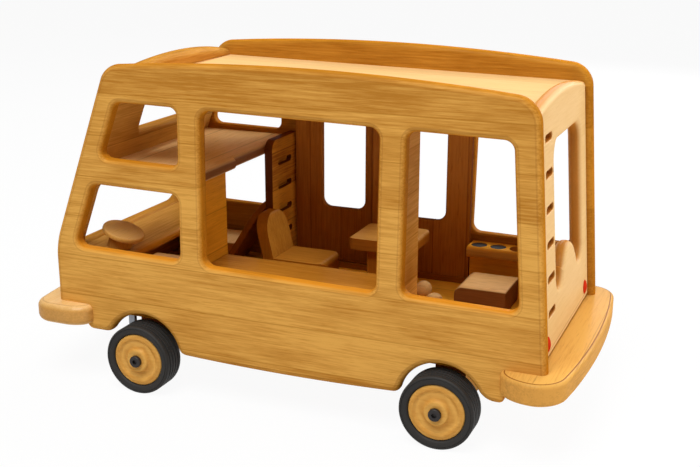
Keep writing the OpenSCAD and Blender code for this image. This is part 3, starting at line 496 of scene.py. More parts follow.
def oiled_wood(name, finish, grain, face, strip_axis="Z", strip=0.0451, start=0.0101, contrast=1.0,
               seed=0.0, tangent_line=0.0, turn=0.97, coat=0.05, ends=0.5):
    """Oiled close-grained hardwood, planed and sanded, glued up from strips.

    The eye sees fine hairlines along the grain, broad pale and deep bands, short dark pores,
    a tone of its own for each strip, a thin glue line, and deeper colour on cut edges.
    """
    light, deep, cut = tones(finish)
    material, tree = blank(name)
    coords = add(tree, "TexCoord")
    spot = coords.outputs["Object"]
    normal = coords.outputs["Normal"]

    # Each strip has a number, and from it a tone and a shift of its grain
    across = add(tree, "VectorMath.DOT_PRODUCT", {1: AXIS[strip_axis]}, {0: spot})
    count = add(tree, "Math.MULTIPLY_ADD", {1: 1 / strip, 2: -start / strip}, {0: across})
    index = add(tree, "Math.FLOOR", links={0: count})
    number = add(tree, "Math.ADD", {1: seed}, {0: index})
    tone = add(tree, "TexWhiteNoise", {"noise_dimensions": "1D"}, {"W": number})
    along_x = add(tree, "Mapping", {"Rotation": TURN[grain]}, {"Vector": spot})
    shift = add(tree, "VectorMath.MULTIPLY", {1: (3.7, 0.61, 0.43)}, {0: tone.outputs["Color"]})
    own = add(tree, "VectorMath.ADD", links={0: along_x, 1: shift})

    # Layers of the figure, in repeats per metre along and across the grain
    layers = {
        # Growth bands about 6 mm wide that run on for 120 mm
        "bands": ((8, 160, 160), {"Detail": 3.0, "Roughness": 0.55, "Distortion": 0.3}),
        # Hairlines about 2 mm apart and 50 mm long
        "hair": ((20, 520, 520), {"Detail": 4.0, "Roughness": 0.65}),
        # Pores 1 mm wide, wider than life so that they show, and 16 mm long
        "specks": ((60, 950, 950), {"Detail": 1.0}),
        # Deeper clouds about 90 mm long and 35 mm wide
        "cloud": ((11, 28, 28), {"Detail": 3.0}),
        # Tone that drifts along a strip over about 250 mm
        "drift": ((4, 9, 9), {"Detail": 1.0}),
    }
    figure = {}
    for layer, (repeats, noise) in layers.items():
        stretched = add(tree, "VectorMath.MULTIPLY", {1: repeats}, {0: own})
        figure[layer] = add(tree, "TexNoise", {"Scale": 1.0, **noise}, {"Vector": stretched})

    # Share of the deep colour: about a third, more or less by strip and by layer
    strip_tone = add(tree, "Math.MULTIPLY_ADD", {1: 1.1}, {0: figure["drift"], 2: tone})
    lean = add(tree, "Math.SUBTRACT", {1: 1.05}, {0: strip_tone})
    deepness = add(tree, "Math.MULTIPLY_ADD", {1: 0.6 * contrast, 2: 0.36}, {0: lean})
    for layer, weight in (("bands", 0.6), ("hair", 1.7), ("cloud", 1.0)):
        lean = add(tree, "Math.SUBTRACT", {1: 0.5}, {0: figure[layer]})
        deepness = add(tree, "Math.MULTIPLY_ADD", {1: weight * contrast}, {0: lean, 2: deepness})
    deepness = add(tree, "Clamp", links={"Value": deepness})
    streaks = add(tree, "Mix.RGBA", {6: shaded(light), 7: shaded(deep)}, {0: deepness})

    # Pores and glue lines; a line is about 0.5 mm wide, drawn to show at a pixel per millimetre
    pores = add(tree, "MapRange", {"From Min": 0.62, "From Max": 0.74}, {"Value": figure["specks"]})
    pore_part = add(tree, "Math.MULTIPLY", {1: 0.3 * contrast}, {0: pores})
    pored = add(tree, "Mix.RGBA", {7: shaded(cut, 0.7)}, {0: pore_part, 6: streaks})
    near = add(tree, "Math.PINGPONG", {1: 0.5}, {0: count})
    joint = add(tree, "MapRange",
                {"From Min": 0.0002 / strip, "From Max": 0.0009 / strip, "To Min": 0.45, "To Max": 0},
                {"Value": near})
    glued = add(tree, "Mix.RGBA", {7: shaded(cut, 0.55)}, {0: joint, 6: pored})

    # Cut edges take more oil, and end grain drinks the most; on the block seat and the axle block, whose cut
    # colour is the dark brown, the same mask paints shade on their sides
    facing = add(tree, "VectorMath.DOT_PRODUCT", {1: AXIS[face]}, {0: normal})
    flatness = add(tree, "Math.ABSOLUTE", links={0: facing})
    soak_and_side_shade = add(tree, "MapRange", {"From Min": 0.3, "From Max": turn, "To Min": 0.9, "To Max": 0},
                 {"Value": flatness})
    oiled_cut = add(tree, "Mix.RGBA", {6: shaded(cut, 1.15), 7: shaded(cut, 0.72)}, {0: deepness})
    edged = add(tree, "Mix.RGBA", links={0: soak_and_side_shade, 6: glued, 7: oiled_cut})
    along = add(tree, "VectorMath.DOT_PRODUCT", {1: AXIS[grain]}, {0: normal})
    endwise = add(tree, "Math.ABSOLUTE", links={0: along})
    drunk = add(tree, "MapRange", {"From Min": 0.35, "From Max": 1.0, "To Max": ends}, {"Value": endwise})
    tint = add(tree, "Mix.RGBA", {7: shaded(cut, (0.5, 0.42, 0.3))}, {0: drunk, 6: edged})
    if tangent_line:
        # A darker line about 1 mm wide is drawn where a flat face turns into its roundover
        begins = add(tree, "MapRange", {"From Min": 0.999, "From Max": 0.995}, {"Value": flatness})
        fades = add(tree, "MapRange", {"From Min": 0.92, "From Max": 0.96, "To Max": tangent_line},
                    {"Value": flatness})
        tangent_darkening = add(tree, "Math.MULTIPLY", links={0: begins, 1: fades})
        tint = add(tree, "Mix.RGBA", {7: shaded(cut, (0.34, 0.2, 0.1))}, {0: tangent_darkening, 6: tint})
    gloss = add(tree, "MapRange", {"From Min": 0.3, "From Max": 0.7, "To Min": 0.44, "To Max": 0.6},
                {"Value": figure["hair"]})
    relief = add(tree, "Math.SUBTRACT", links={0: figure["hair"], 1: pores})
    bump = add(tree, "Bump", {"Strength": 0.12, "Distance": 0.0004}, {"Height": relief})
    # Oil leaves no film of its own: the only gloss is a thin coat
    shader = add(tree, "BsdfPrincipled",
                 {"Specular IOR Level": 0.0, "Coat Weight": coat, "Coat Roughness": 0.25},
                 {"Base Color": tint, "Roughness": gloss, "Normal": bump})
    add(tree, "OutputMaterial", links={"Surface": shader})
    return material


def turned_wood(name, x):
    """Hub turned from a slice of hardwood: growth rings run round the axle, a little off true."""
    material, tree = blank(name)
    light, deep, _ = tones("warm")
    spot = add(tree, "TexCoord").outputs["Object"]
    # Rings about 10 mm apart
    centred = add(tree, "Mapping", {"Location": (-x * MM, 0, -AXLE_Z * MM)}, {"Vector": spot})
    rings = add(tree, "TexWave",
                {"wave_type": "RINGS", "rings_direction": "Y", "Scale": 31.0, "Distortion": 3.5,
                 "Detail": 3.0, "Detail Scale": 1.6, "Detail Roughness": 0.6}, {"Vector": centred})
    # Hairlines about 3 mm apart and 25 mm long
    stretched = add(tree, "VectorMath.MULTIPLY", {1: (40, 300, 420)}, {0: spot})
    hair = add(tree, "TexNoise", {"Scale": 1.0, "Detail": 3.0, "Roughness": 0.6}, {"Vector": stretched})
    lean = add(tree, "Math.SUBTRACT", {1: 0.4}, {0: hair})
    both = add(tree, "Math.MULTIPLY_ADD", {1: 0.6}, {0: rings.outputs["Fac"], 2: lean})
    tint = add(tree, "Mix.RGBA", {"clamp_factor": True, 6: shaded(light), 7: shaded(deep)}, {0: both})
    bump = add(tree, "Bump", {"Strength": 0.1, "Distance": 0.0004}, {"Height": hair})
    shader = add(tree, "BsdfPrincipled",
                 {"Roughness": 0.5, "Specular IOR Level": 0.0, "Coat Weight": 0.15, "Coat Roughness": 0.25},
                 {"Base Color": tint, "Normal": bump})
    add(tree, "OutputMaterial", links={"Surface": shader})
    return material


def tyre_rubber():
    """Moulded rubber, matt and dusty: charcoal with paler scuffs and a faint mould grain."""
    material, tree = blank("Tyre rubber")
    base = finishes().rubber
    spot = add(tree, "TexCoord").outputs["Object"]
    # Scuffs about 12 mm across, grain of 0.8 mm
    scuffs = add(tree, "TexNoise", {"Scale": 80.0, "Detail": 4.0, "Roughness": 0.65}, {"Vector": spot})
    dust = add(tree, "MapRange", {"From Min": 0.45, "From Max": 0.8, "To Max": 0.22}, {"Value": scuffs})
    tint = add(tree, "Mix.RGBA", {6: shaded(base), 7: shaded(base, 2.1)}, {0: dust})
    grain = add(tree, "TexNoise", {"Scale": 1200.0, "Detail": 2.0}, {"Vector": spot})
    bump = add(tree, "Bump", {"Strength": 0.15, "Distance": 0.0003}, {"Height": grain})
    rough = add(tree, "MapRange", {"To Min": 0.5, "To Max": 0.75}, {"Value": scuffs})
    shader = add(tree, "BsdfPrincipled", {"Specular IOR Level": 0.25},
                 {"Base Color": tint, "Roughness": rough, "Normal": bump})
    add(tree, "OutputMaterial", links={"Surface": shader})
    return material


def metal(name, base, metallic, rough, stretch, shine=0.5):
    """Drawn or blackened steel: fine lines along the drawing direction break up the gloss."""
    material, tree = blank(name)
    spot = add(tree, "TexCoord").outputs["Object"]
    lines = add(tree, "VectorMath.MULTIPLY", {1: stretch}, {0: spot})
    scratch = add(tree, "TexNoise", {"Scale": 1.0, "Detail": 3.0}, {"Vector": lines})
    tint = add(tree, "Mix.RGBA", {6: shaded(base, 0.75), 7: shaded(base, 1.2)}, {0: scratch})
    gloss = add(tree, "MapRange", {"To Min": rough - 0.1, "To Max": rough + 0.12}, {"Value": scratch})
    bump = add(tree, "Bump", {"Strength": 0.06, "Distance": 0.0002}, {"Height": scratch})
    shader = add(tree, "BsdfPrincipled", {"Metallic": metallic, "Specular IOR Level": shine},
                 {"Base Color": tint, "Roughness": gloss, "Normal": bump})
    add(tree, "OutputMaterial", links={"Surface": shader})
    return material


def red_lacquer():
    """Sprayed gloss lacquer on a turned stud: deep red with a slight orange peel."""
    material, tree = blank("Red lacquer")
    base = finishes().red
    spot = add(tree, "TexCoord").outputs["Object"]
    # Peel of 1.4 mm, drift of colour over 6 mm
    peel = add(tree, "TexNoise", {"Scale": 700.0, "Detail": 1.0}, {"Vector": spot})
    drift = add(tree, "TexNoise", {"Scale": 160.0, "Detail": 2.0}, {"Vector": spot})
    tint = add(tree, "Mix.RGBA", {6: shaded(base), 7: shaded(base, 0.7)}, {0: drift})
    bump = add(tree, "Bump", {"Strength": 0.05, "Distance": 0.0002}, {"Height": peel})
    shader = add(tree, "BsdfPrincipled",
                 {"Roughness": 0.35, "Specular IOR Level": 0.0, "Coat Weight": 0.05, "Coat Roughness": 0.08},
                 {"Base Color": tint, "Normal": bump})
    add(tree, "OutputMaterial", links={"Surface": shader})
    return material


def seen_directly(tree):
    """1 for rays that see the stage straight, in a gloss or through glass, 0 for rays that light it."""
    ray = add(tree, "LightPath")
    straight = add(tree, "Math.MAXIMUM",
                   links={0: ray.outputs["Is Camera Ray"], 1: ray.outputs["Is Glossy Ray"]})
    every = add(tree, "Math.MAXIMUM", links={0: straight, 1: ray.outputs["Is Transmission Ray"]})
    return every


# Operators, one for each group of pieces

class VAN_OT_side_panels(Operator):
    """Make both side panels with their windows, arches and roundovers"""
    bl_idname = "van.side_panels"
    bl_label = "Side panels"

    def execute(self, context):
        soft = context.scene.van_sizes.roundover / MM
        strip = context.scene.van_sizes.strip
        outside, inside = 5.5, 3.5

        def on_bumper(mid):
            ends = mid.x < CUT_F + ON_SEAT or mid.x > CUT_B - ON_SEAT
            seat = ends and abs(mid.y - FLOOR) < ON_SEAT
            notch = min(abs(mid.x - CUT_F), abs(mid.x - CUT_B)) < ON_SEAT and mid.y < FLOOR
            return seat or notch

        outline = side_outline()
        near = plate(outline, side_windows(bunk_low=162, mid_low=59), "Y", -HALF, -INNER, soft,
                     hole_soft=[(outside, inside)] * 4, sharp=on_bumper)
        wood = oiled_wood("Side panel alder", "honey", "X", "Y", strip=strip, contrast=1.25,
                          seed=545, tangent_line=0.2, ends=0.3)
        place(near, "near_side_panel", "van", wood, "side_left")
        far = plate(outline, side_windows(bunk_low=159, mid_low=4), "Y", INNER, HALF, soft,
                    hole_soft=[(inside, outside)] * 4, sharp=on_bumper)
        # Painted shade: the far panel is the same honey alder as the near one, given the deeper amber colours
        # so that its inner face looks shaded
        deeper = oiled_wood("Far panel alder", "amber amber_deep honey_cut", "X", "Y", strip=strip,
                            contrast=1.3, ends=0.3)
        place(far, "far_side_panel", "van", deeper, "side_right")
        return {"FINISHED"}


class VAN_OT_end_panels(Operator):
    """Make the raked front panel, the board under it and the leaning rear panel"""
    bl_idname = "van.end_panels"
    bl_label = "End panels"

    def execute(self, context):
        soft = context.scene.van_sizes.roundover / MM
        self.front_panel(soft)
        board("front_apron", 1.2, "front_apron_board",
              oiled_wood("Apron alder", "honey", "Y", "X", seed=5))
        self.rear_panel(soft)
        return {"FINISHED"}

    def arched_top(self, height):
        """Points along a panel's arched top, from far to near."""
        rows = [INNER - 2 * INNER * i / 24 for i in range(25)]
        return [(y, height - END_ARCH * (y / INNER) ** 2, 0) for y in rows]

    def front_panel(self, soft):
        lay = frame_matrix((FRONT_OUT.x, 0, FRONT_OUT.y), (0, 1, 0), (RAKE_DIR.x, 0, RAKE_DIR.y),
                           (RAKE_DIR.y, 0, -RAKE_DIR.x))
        foot = -30
        below_knee = 12

        def up(height):
            """Run along the raked board to a height above the floor."""
            return (FLOOR + height - KNEE_Z + BOARD / 2 * math.sin(RAKE)) / math.cos(RAKE)

        def fixed(mid):
            return abs(abs(mid.x) - INNER) < ON_LINE or mid.y < foot + 10

        outline = [(-INNER, foot, 0), (INNER, foot, 0)]
        outline += [(y, up(height), 0) for y, height, _ in self.arched_top(FRONT_TOP)]
        openings = [box_outline(-half, up(low), half, up(high), radius)
                    for half, low, high, radius in (SCREEN, BUNK_LIGHT)]
        front = plate(outline, openings, lay, 0, BOARD, soft, sharp=fixed)
        # The foot is cut level below the knee
        cut = bmesh.ops.bisect_plane(front, geom=front.verts[:] + front.edges[:] + front.faces[:],
                                     plane_co=(0, 0, KNEE_Z - below_knee), plane_no=(0, 0, -1),
                                     clear_outer=True)
        rim = [g for g in cut["geom_cut"] if isinstance(g, bmesh.types.BMEdge)]
        bmesh.ops.edgeloop_fill(front, edges=rim)
        bmesh.ops.recalc_face_normals(front, faces=front.faces)
        wood = oiled_wood("Front panel alder", "honey honey_deep amber", "Y", "X", start=0.0401)
        place(front, "raked_front_panel", "van", wood, "front_panel")

    def rear_panel(self, soft):
        lay = frame_matrix((REAR_OUT.x, 0, REAR_OUT.y), (0, 1, 0), (LEAN_DIR.x, 0, LEAN_DIR.y),
                           (-LEAN_DIR.y, 0, LEAN_DIR.x))
        # Opening: two round notches with a tongue between them, and a square head
        near, far, head, head_r = -46.5, 82.5, 205, 18
        notch_foot, notch, tongue_top = 56, 15.5, 90
        low = notch_foot + notch
        tongue = (far - near) / 2 - 2 * notch
        rise = tongue_top - tongue
        turn = math.degrees(math.asin((low - rise) / tongue))
        opening = (arc(near + notch, low, notch, 180, 360, 16)
                   + arc((near + far) / 2, rise, tongue, 180 - turn, turn, 20)
                   + arc(far - notch, low, notch, 180, 360, 16)
                   + [(far, head, head_r), (near, head, head_r)])
        # Ladder of slots up the near post
        slot_y, slot_low, slot_step, slot_soft = -70, 43.5, 34.3, 1.4
        slots = [slot_outline(slot_y, slot_low + slot_step * i, width=30, height=7) for i in range(6)]

        def fixed(mid):
            return mid.z > 1 and (abs(abs(mid.x) - INNER) < ON_LINE or mid.y < ON_LINE)

        rear = plate([(-INNER, 0, 0), (INNER, 0, 0)] + self.arched_top(REAR_TOP), [opening] + slots, lay,
                     0, BOARD, soft, hole_soft=[soft] + [slot_soft] * len(slots), sharp=fixed)
        wood = oiled_wood("Rear panel birch", "pale", "Y", "X", strip=0.3, start=0.098, contrast=0.45,
                          seed=2, turn=0.8, coat=0.15, ends=0.3)
        place(rear, "leaning_rear_panel", "van", wood, "rear_panel")


class VAN_OT_roof_and_floor(Operator):
    """Finish the roof board and make the floor board"""
    bl_idname = "van.roof_and_floor"
    bl_label = "Roof and floor"

    def execute(self, context):
        dress(oiled_wood("Roof birch", "pale", "X", "Z", strip_axis="Y", strip=0.062, start=0.02,
                         contrast=0.5, seed=7), "roof")
        board("floor_board", 1.0, "floor_panel",
              oiled_wood("Floor alder", "inner_light inner inner_cut", "X", "Z", strip_axis="Y", strip=0.06,
                         start=0.01, seed=3))
        return {"FINISHED"}


class VAN_OT_bumpers(Operator):
    """Make the two bullnosed bumpers that wrap round the corners"""
    bl_idname = "van.bumpers"
    bl_label = "Bumpers"

    def execute(self, context):
        plain = {"strip_axis": "X", "strip": 0.2, "start": 0.9, "ends": 0.12}
        self.bumper("front", -1, CUT_F, wing=CUT_F + 11, run=27, bow=11, corner=25, nose=7.0,
                    wood=oiled_wood("Front bumper alder", "pale warm warm_cut", "Y", "Z",
                                    contrast=0.8, seed=-1, tangent_line=0.3, coat=0.4, **plain))
        self.bumper("rear", 1, CUT_B, wing=CUT_B - 3, run=35, bow=12, corner=31, nose=4.5,
                    wood=oiled_wood("Rear bumper alder", "warm", "Y", "Z",
                                    contrast=1.1, seed=1, tangent_line=0.85, coat=0.12, **plain))
        return {"FINISHED"}

    def bumper(self, end, sign, cut, wing, run, bow, corner, nose, wood):
        low, high = box_mm(end + "_bumper")
        far = high.x if sign > 0 else low.x
        width = high.y
        # The bowed face stops short of its round corners
        reach = width - 1.6 * corner
        rows = [reach * (1 - i / 8) for i in range(17)]
        face = [(far - sign * bow * (y / width) ** 2, y, 0) for y in rows]
        # The wings run on into the side panels, and a slit there gives the bullnose room to end
        room, slit_width, lap, face_depth = 6, 1, 9, 20
        slit = cut + sign * max(0, room - abs(cut - wing))
        seat = HALF - lap
        step = seat - slit_width
        # Each wing runs out to its side panel in a quarter of an ellipse
        turns = [math.radians(9 * i) for i in range(11)]
        tip = [(wing + sign * run * (1 - math.cos(t)), HALF + (width - HALF) * math.sin(t), 0)
               for t in turns]
        outline = (face + [(far - sign * bow, -width, corner)] + [(x, -y, 0) for x, y, _ in reversed(tip)]
                   + [(wing, -seat, 0), (slit, -seat, 0), (slit, -step, 0), (cut, -step, 0),
                      (cut, step, 0), (slit, step, 0), (slit, seat, 0), (wing, seat, 0)]
                   + tip + [(far - sign * bow, width, corner)])
        if slit == cut:
            outline = [spot for spot in outline if abs(abs(spot[1]) - step) > ON_LINE]
        if sign < 0:
            outline.reverse()

        def on_panel(mid):
            return abs(mid.y) < seat + ON_LINE and sign * (mid.x - far) < -face_depth

        shape = plate(outline, [], "Z", low.z, high.z, nose, sharp=on_panel, segments=8)
        place(shape, end + "_bumper_board", "van", wood, end + "_bumper")


class VAN_OT_bunk(Operator):
    """Make the sleeping deck and the walls round it"""
    bl_idname = "van.bunk"
    bl_label = "Bunk and walls"

    def execute(self, context):
        soft = context.scene.van_sizes.easing / MM
        # Partly painted sheen: the deck top takes the pale birch colours so that it looks as bright as its
        # sheen
        board("bunk_deck", soft, "sleeping_deck",
              oiled_wood("Deck alder", "pale pale_deep brown_cut", "Y", "Z", strip_axis="X", strip=0.07,
                         start=0.02, seed=11))
        board("cab_wall", soft, "near_cab_wall",
              oiled_wood("Cab wall alder", "inner", "Y", "X", seed=4))
        board("ladder_wall", soft, "ladder_board",
              oiled_wood("Ladder board stain", "ladder brown_deep brown_cut", "Y", "X", seed=9))
        # The wall behind the near rear post stands on the floor, below the foot of its CAD board
        low, high = box_mm("hanging_wall")
        top = high.z - (high.x - low.x) * math.tan(PITCH)
        wall = plate(box_outline(low.y, FLOOR, high.y, top, 0), [], "X", low.x, high.x, soft, segments=3,
                     sharp=lambda mid: mid.x < high.y - ON_LINE)
        place(wall, "rear_post_wall", "van",
              oiled_wood("Post wall alder", "honey", "Y", "X", start=0.0184, seed=81), "hanging_wall")
        return {"FINISHED"}


class VAN_OT_bench(Operator):
    """Make the side bench"""
    bl_idname = "van.bench"
    bl_label = "Bench"

    def execute(self, context):
        soft = context.scene.van_sizes.easing / MM
        board("bench_top", 2 * soft, "bench_seat_board",
              oiled_wood("Bench alder", "amber", "X", "Z", strip_axis="Y", strip=0.05, start=0.01, seed=8))
        board("bench_front", soft, "bench_front_board",
              oiled_wood("Bench front alder", "amber", "X", "Y", seed=12))
        return {"FINISHED"}


class VAN_OT_cab(Operator):
    """Make the dashboard, the steering wheel and the cab seats"""
    bl_idname = "van.cab"
    bl_label = "Cab"

    def execute(self, context):
        soft = context.scene.van_sizes.easing / MM
        board("dashboard", 1.0, "dashboard_board",
              oiled_wood("Dashboard alder", "honey", "Y", "Z", strip_axis="X", strip=0.08, start=0.03,
                         seed=14))
        dress(oiled_wood("Steering post alder", "warm", "Z", "Z", seed=15, **ONE_STRIP), "steering_post")
        # Partly painted light: the disc takes a paler light colour than the warm alder of its post, so that
        # it looks lit where it sits in shade under the bunk
        dress(oiled_wood("Steering wheel alder", "pale_deep warm warm_cut", "Y", "Z", seed=16,
                         turn=0.85, ends=0, **ONE_STRIP), "steering_wheel")
        board("driver_seat", soft, "driver_seat_block",
              oiled_wood("Driver seat birch", "pale", "X", "Z", seed=17))
        board("passenger_seat", soft, "passenger_seat_block",
              oiled_wood("Passenger seat birch", "pale", "Y", "Z", seed=18))
        board("passenger_back", soft, "passenger_back_board",
              oiled_wood("Passenger back stain", "amber", "Z", "X", seed=19))
        return {"FINISHED"}


class VAN_OT_furniture(Operator):
    """Make the loose chair, table, block seat, ball and peg"""
    bl_idname = "van.furniture"
    bl_label = "Loose furniture"

    def execute(self, context):
        soft = context.scene.van_sizes.easing / MM
        board("chair_seat", 1.5 * soft, "chair_seat_block",
              oiled_wood("Chair alder", "amber", "X", "Z", seed=21, **ONE_STRIP), body="chair")
        board("chair_back", 1.5 * soft, "chair_back_board",
              oiled_wood("Chair back alder", "amber", "Z", "X", seed=22, **ONE_STRIP), body="chair")
        board("table_top", soft, "table_board",
              oiled_wood("Table alder", "warm warm_deep amber_cut", "X", "Z", seed=23, **ONE_STRIP),
              body="table")
        board("table_foot", soft, "table_pedestal",
              oiled_wood("Table foot alder", "amber", "Z", "X", seed=24, **ONE_STRIP), body="table")
        # Painted shade: the block seat's top takes the pale birch and its sides the dark brown cut colour, as
        # if lit only from above
        board("block_seat", soft, "block_seat_piece",
              oiled_wood("Block seat birch", "pale pale_deep brown_cut", "X", "Z", seed=25, ends=0,
                         **ONE_STRIP), body="block")
        dress(oiled_wood("Ball birch", "pale pale_deep pale_deep", "X", "Z", seed=26, ends=0,
                         **ONE_STRIP), "ball", "peg")
        return {"FINISHED"}


class VAN_OT_kitchen(Operator):
    """Make the kitchen with its hob and sink"""
    bl_idname = "van.kitchen"
    bl_label = "Kitchen"

    def execute(self, context):
        soft = context.scene.van_sizes.easing / MM
        # Partly painted light: the kitchen front takes the light inner colours, paler than its honey alder,
        # so that it looks brighter where it stands in shade
        board("kitchen_body", soft, "kitchen_front",
              oiled_wood("Kitchen alder", "inner_light inner inner_cut", "X", "Y", seed=27))
        board("worktop", 0.8, "kitchen_worktop",
              oiled_wood("Worktop alder", "inner_light inner warm_cut", "X", "Z", seed=28))
        # A grit of 1 mm, coarser than life so that it shows
        dress(metal("Blackened hob steel", finishes().hob, metallic=0.0, rough=0.6, stretch=(900, 900, 900),
                    shine=0.1), "hob_discs")
        return {"FINISHED"}


class VAN_OT_doors(Operator):
    """Make the two sliding door leaves and their tracks"""
    bl_idname = "van.doors"
    bl_label = "Sliding doors"

    def execute(self, context):
        # Window of a leaf: from its front edge, and above the floor
        front, rear, foot, head, radius = 36, 90.3, 72.8, 200, 11
        # Partly painted shade: the leaves take the brown colours, a darker copy of the honey alder, as they
        # stand in shade
        wood = oiled_wood("Door stain", "brown", "Z", "Y", strip_axis="X", strip=0.04, start=0.01, seed=31)
        for end in ("front", "rear"):
            low, high = box_mm("door_" + end)
            light = box_outline(low.x + front, FLOOR + foot, low.x + rear, FLOOR + head, radius)
            leaf = plate(box_outline(low.x, low.z, high.x, high.z, radius=2), [light], "Y", low.y, high.y,
                         soft=0.8, hole_soft=[2.2], segments=4)
            place(leaf, end + "_door_leaf", end + "_door", wood, "door_" + end)
        dress(oiled_wood("Track alder", "amber", "X", "Z", seed=32, **ONE_STRIP), "track_bottom", "track_top")
        return {"FINISHED"}


class VAN_OT_wheels(Operator):
    """Make the four tyres, and finish the turned hubs and the cap screws"""
    bl_idname = "van.wheels"
    bl_label = "Wheels"

    def execute(self, context):
        rubber = tyre_rubber()
        profile = self.tyre_profile()
        for end, x in (("front", AXLE_F), ("rear", AXLE_B)):
            wood = turned_wood(end.capitalize() + " hub alder", x)
            for side, sign in (("left", -1), ("right", 1)):
                name = end + "_" + side
                dress(wood, "hub_" + name)
                lay = (Matrix.Translation((x, sign * WHEEL_IN, AXLE_Z))
                       @ Matrix.Rotation(math.radians(-90 * sign), 4, "X"))
                place(turned(profile, lay), "treaded_tyre_" + name, "wheel_" + name, rubber,
                      "tyre_" + name)
        # A grit of 1.4 mm, coarser than life so that it shows
        dress(metal("Blackened screw steel", finishes().black, metallic=0.7, rough=0.42,
                    stretch=(700, 700, 700)), "axle_caps")
        return {"FINISHED"}

    def tyre_profile(self):
        """Half a section and its mirror: a flat wall, a tight shoulder and four tread grooves."""
        low, high = box_mm("hub_front_left")
        rim = (high.z - low.z) / 2 + 0.1
        width = WHEEL_OUT - WHEEL_IN
        r = WHEEL_R
        wall = [(rim, 3.2), (rim + 1.0, 1.8), (rim + 2.0, 1.0), (rim + 3.2, 0.7), (r - 3.4, 0.3),
                (r - 3.0, 0.8), (r - 2.6, 0.8), (r - 2.2, 0.2), (r - 1.3, 0.3), (r - 0.6, 0.8),
                (r - 0.15, 1.6), (r, 2.6)]
        spacing, depth = 5.2, 1.6
        grooves = []
        for i in range(2):
            middle = width / 2 - spacing / 2 - spacing * (1 - i)
            grooves += [(r, middle - 1.1), (r - 0.3, middle - 0.9), (r - depth, middle - 0.6),
                        (r - depth, middle + 0.6), (r - 0.3, middle + 0.9), (r, middle + 1.1)]
        half = wall + grooves
        ring = half + [(radius, width - h) for radius, h in reversed(half)]
        return ring + ring[:1]


class VAN_OT_running_gear(Operator):
    """Make the straps, the axle block and the cross beam, and finish the axles"""
    bl_idname = "van.running_gear"
    bl_label = "Running gear"

    def execute(self, context):
        # Drawing lines 1 mm apart, coarser than life so that they show, and 8 mm long
        steel = metal("Drawn steel", finishes().steel, metallic=1.0, rough=0.38, stretch=(120, 900, 120))
        board("front_hangers", 0.6, "front_straps", steel)
        dress(steel, "front_axle", "rear_axle")
        # Painted shade: the axle block's faces along X take the warm colours, and its other faces, the near
        # one among them, take the dark brown cut colour as shade
        board("rear_axle_block", 1.5, "rear_axle_bearer",
              oiled_wood("Axle block alder", "warm warm_deep brown_cut", "Y", "X", seed=51, **ONE_STRIP))
        board("front_crossbeam", 1.5, "front_cross_beam",
              oiled_wood("Cross beam stain", "brown", "Y", "Z", seed=52, **ONE_STRIP))
        return {"FINISHED"}


class VAN_OT_tail_lights(Operator):
    """Finish the two red studs"""
    bl_idname = "van.tail_lights"
    bl_label = "Tail lights"

    def execute(self, context):
        dress(red_lacquer(), "tail_lights")
        return {"FINISHED"}


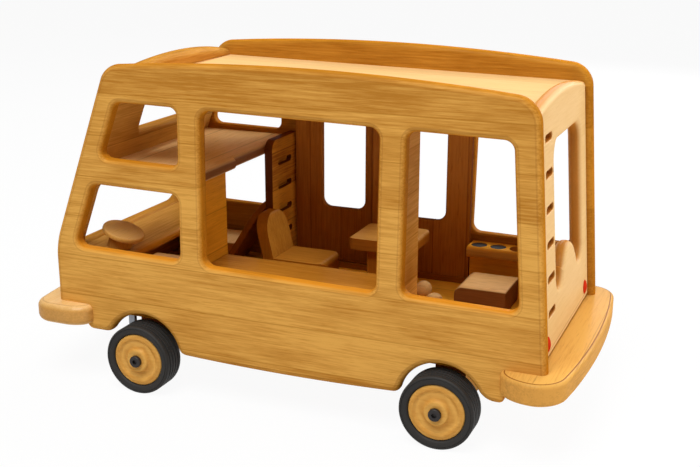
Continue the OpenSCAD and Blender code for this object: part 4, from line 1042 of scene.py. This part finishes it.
class VAN_OT_stage(Operator):
    """Make the pale floor, the studio light and the camera"""
    bl_idname = "van.stage"
    bl_label = "Stage"

    def execute(self, context):
        scene = context.scene
        scene.view_settings.view_transform = "Standard"
        bm = bmesh.new()
        bmesh.ops.create_grid(bm, x_segments=1, y_segments=1, size=12)
        mesh = bpy.data.meshes.new("studio_floor")
        bm.to_mesh(mesh)
        bm.free()
        mesh.materials.append(self.paper())
        floor = bpy.data.objects.new("studio_floor", mesh)
        scene.collection.objects.link(floor)
        self.sky(scene)
        self.lamp(scene, "front_lamp", spot=(0.0, -1.2, 2.3), size=1.5, power=61.5)
        self.lamp(scene, "rear_lamp", spot=(2.1, 0.2, 0.95), size=1.0, power=15.8)
        self.lamp(scene, "back_lamp", spot=(0.5, 2.1, 1.3), size=2.0, power=55)
        lens = bpy.data.cameras.new("photo_camera")
        lens.sensor_fit = "HORIZONTAL"
        lens.sensor_width = 36
        lens.lens = 56.32
        camera = bpy.data.objects.new("photo_camera", lens)
        camera.location = (0.46501, -1.0717, 0.50572)
        camera.rotation_euler = tuple(math.radians(a) for a in (73.6314, -0.1883, 22.3196))
        scene.collection.objects.link(camera)
        scene.camera = camera
        return {"FINISHED"}

    def lamp(self, scene, name, spot, size, power):
        """A square lamp that points at the middle of the van."""
        light = bpy.data.lights.new(name, "AREA")
        light.size = size
        light.energy = power
        holder = bpy.data.objects.new(name, light)
        holder.location = spot
        aim = Vector((0, 0, 0.18)) - Vector(spot)
        holder.rotation_euler = aim.to_track_quat("-Z", "Y").to_euler()
        scene.collection.objects.link(holder)

    def paper(self):
        """White paper sweep: white to the eye and in reflections, keeping a soft shadow."""
        material, tree = blank("Paper sweep")
        spot = add(tree, "TexCoord").outputs["Object"]
        # Fibres of 2.5 mm
        fibre = add(tree, "TexNoise", {"Scale": 400.0, "Detail": 2.0}, {"Vector": spot})
        tint = add(tree, "Mix.RGBA", {6: (0.80, 0.80, 0.80, 1), 7: (0.84, 0.84, 0.84, 1)}, {0: fibre})
        matt = add(tree, "BsdfDiffuse", links={"Color": tint})
        glow = add(tree, "Emission", {"Strength": 1.0})
        # The rest of the light that is seen is the sheet's own, with the shadow in it
        glow_part = add(tree, "Math.MULTIPLY", {1: 0.94}, {0: seen_directly(tree)})
        both = add(tree, "MixShader", links={0: glow_part, 1: matt, 2: glow})
        add(tree, "OutputMaterial", links={"Surface": both})
        return material

    def sky(self, scene):
        """A white surround that lights the van only a little."""
        world = bpy.data.worlds.new("Studio")
        scene.world = world
        world.use_nodes = True
        tree = world.node_tree
        tree.nodes.clear()
        strength = add(tree, "MapRange", {"To Min": 0.15, "To Max": 1.0}, {"Value": seen_directly(tree)})
        back = add(tree, "Background", {"Color": (1, 1, 1, 1)}, {"Strength": strength})
        add(tree, "OutputWorld", links={"Surface": back})


class VIEW3D_PT_camper_van(Panel):
    bl_label = "Camper Van"
    bl_space_type = "VIEW_3D"
    bl_region_type = "UI"
    bl_category = "Camper Van"

    def draw(self, context):
        layout = self.layout
        for group in (context.scene.van_sizes, context.scene.van_finishes):
            for key in group.bl_rna.properties.keys():
                if key not in ("rna_type", "name"):
                    layout.prop(group, key)
        for piece in PIECES:
            layout.operator(piece.bl_idname)


PIECES = (VAN_OT_side_panels, VAN_OT_end_panels, VAN_OT_roof_and_floor, VAN_OT_bumpers, VAN_OT_bunk,
          VAN_OT_bench, VAN_OT_cab, VAN_OT_furniture, VAN_OT_kitchen, VAN_OT_doors, VAN_OT_wheels,
          VAN_OT_running_gear, VAN_OT_tail_lights, VAN_OT_stage)
CLASSES = (VanSizes, VanFinishes) + PIECES + (VIEW3D_PT_camper_van,)


def register():
    for item in CLASSES:
        bpy.utils.register_class(item)
    bpy.types.Scene.van_sizes = PointerProperty(type=VanSizes)
    bpy.types.Scene.van_finishes = PointerProperty(type=VanFinishes)


def unregister():
    del bpy.types.Scene.van_finishes
    del bpy.types.Scene.van_sizes
    for item in reversed(CLASSES):
        bpy.utils.unregister_class(item)


def main():
    register()
    for piece in PIECES:
        getattr(bpy.ops.van, piece.bl_idname.partition(".")[2])()


if __name__ == "__main__":
    main()
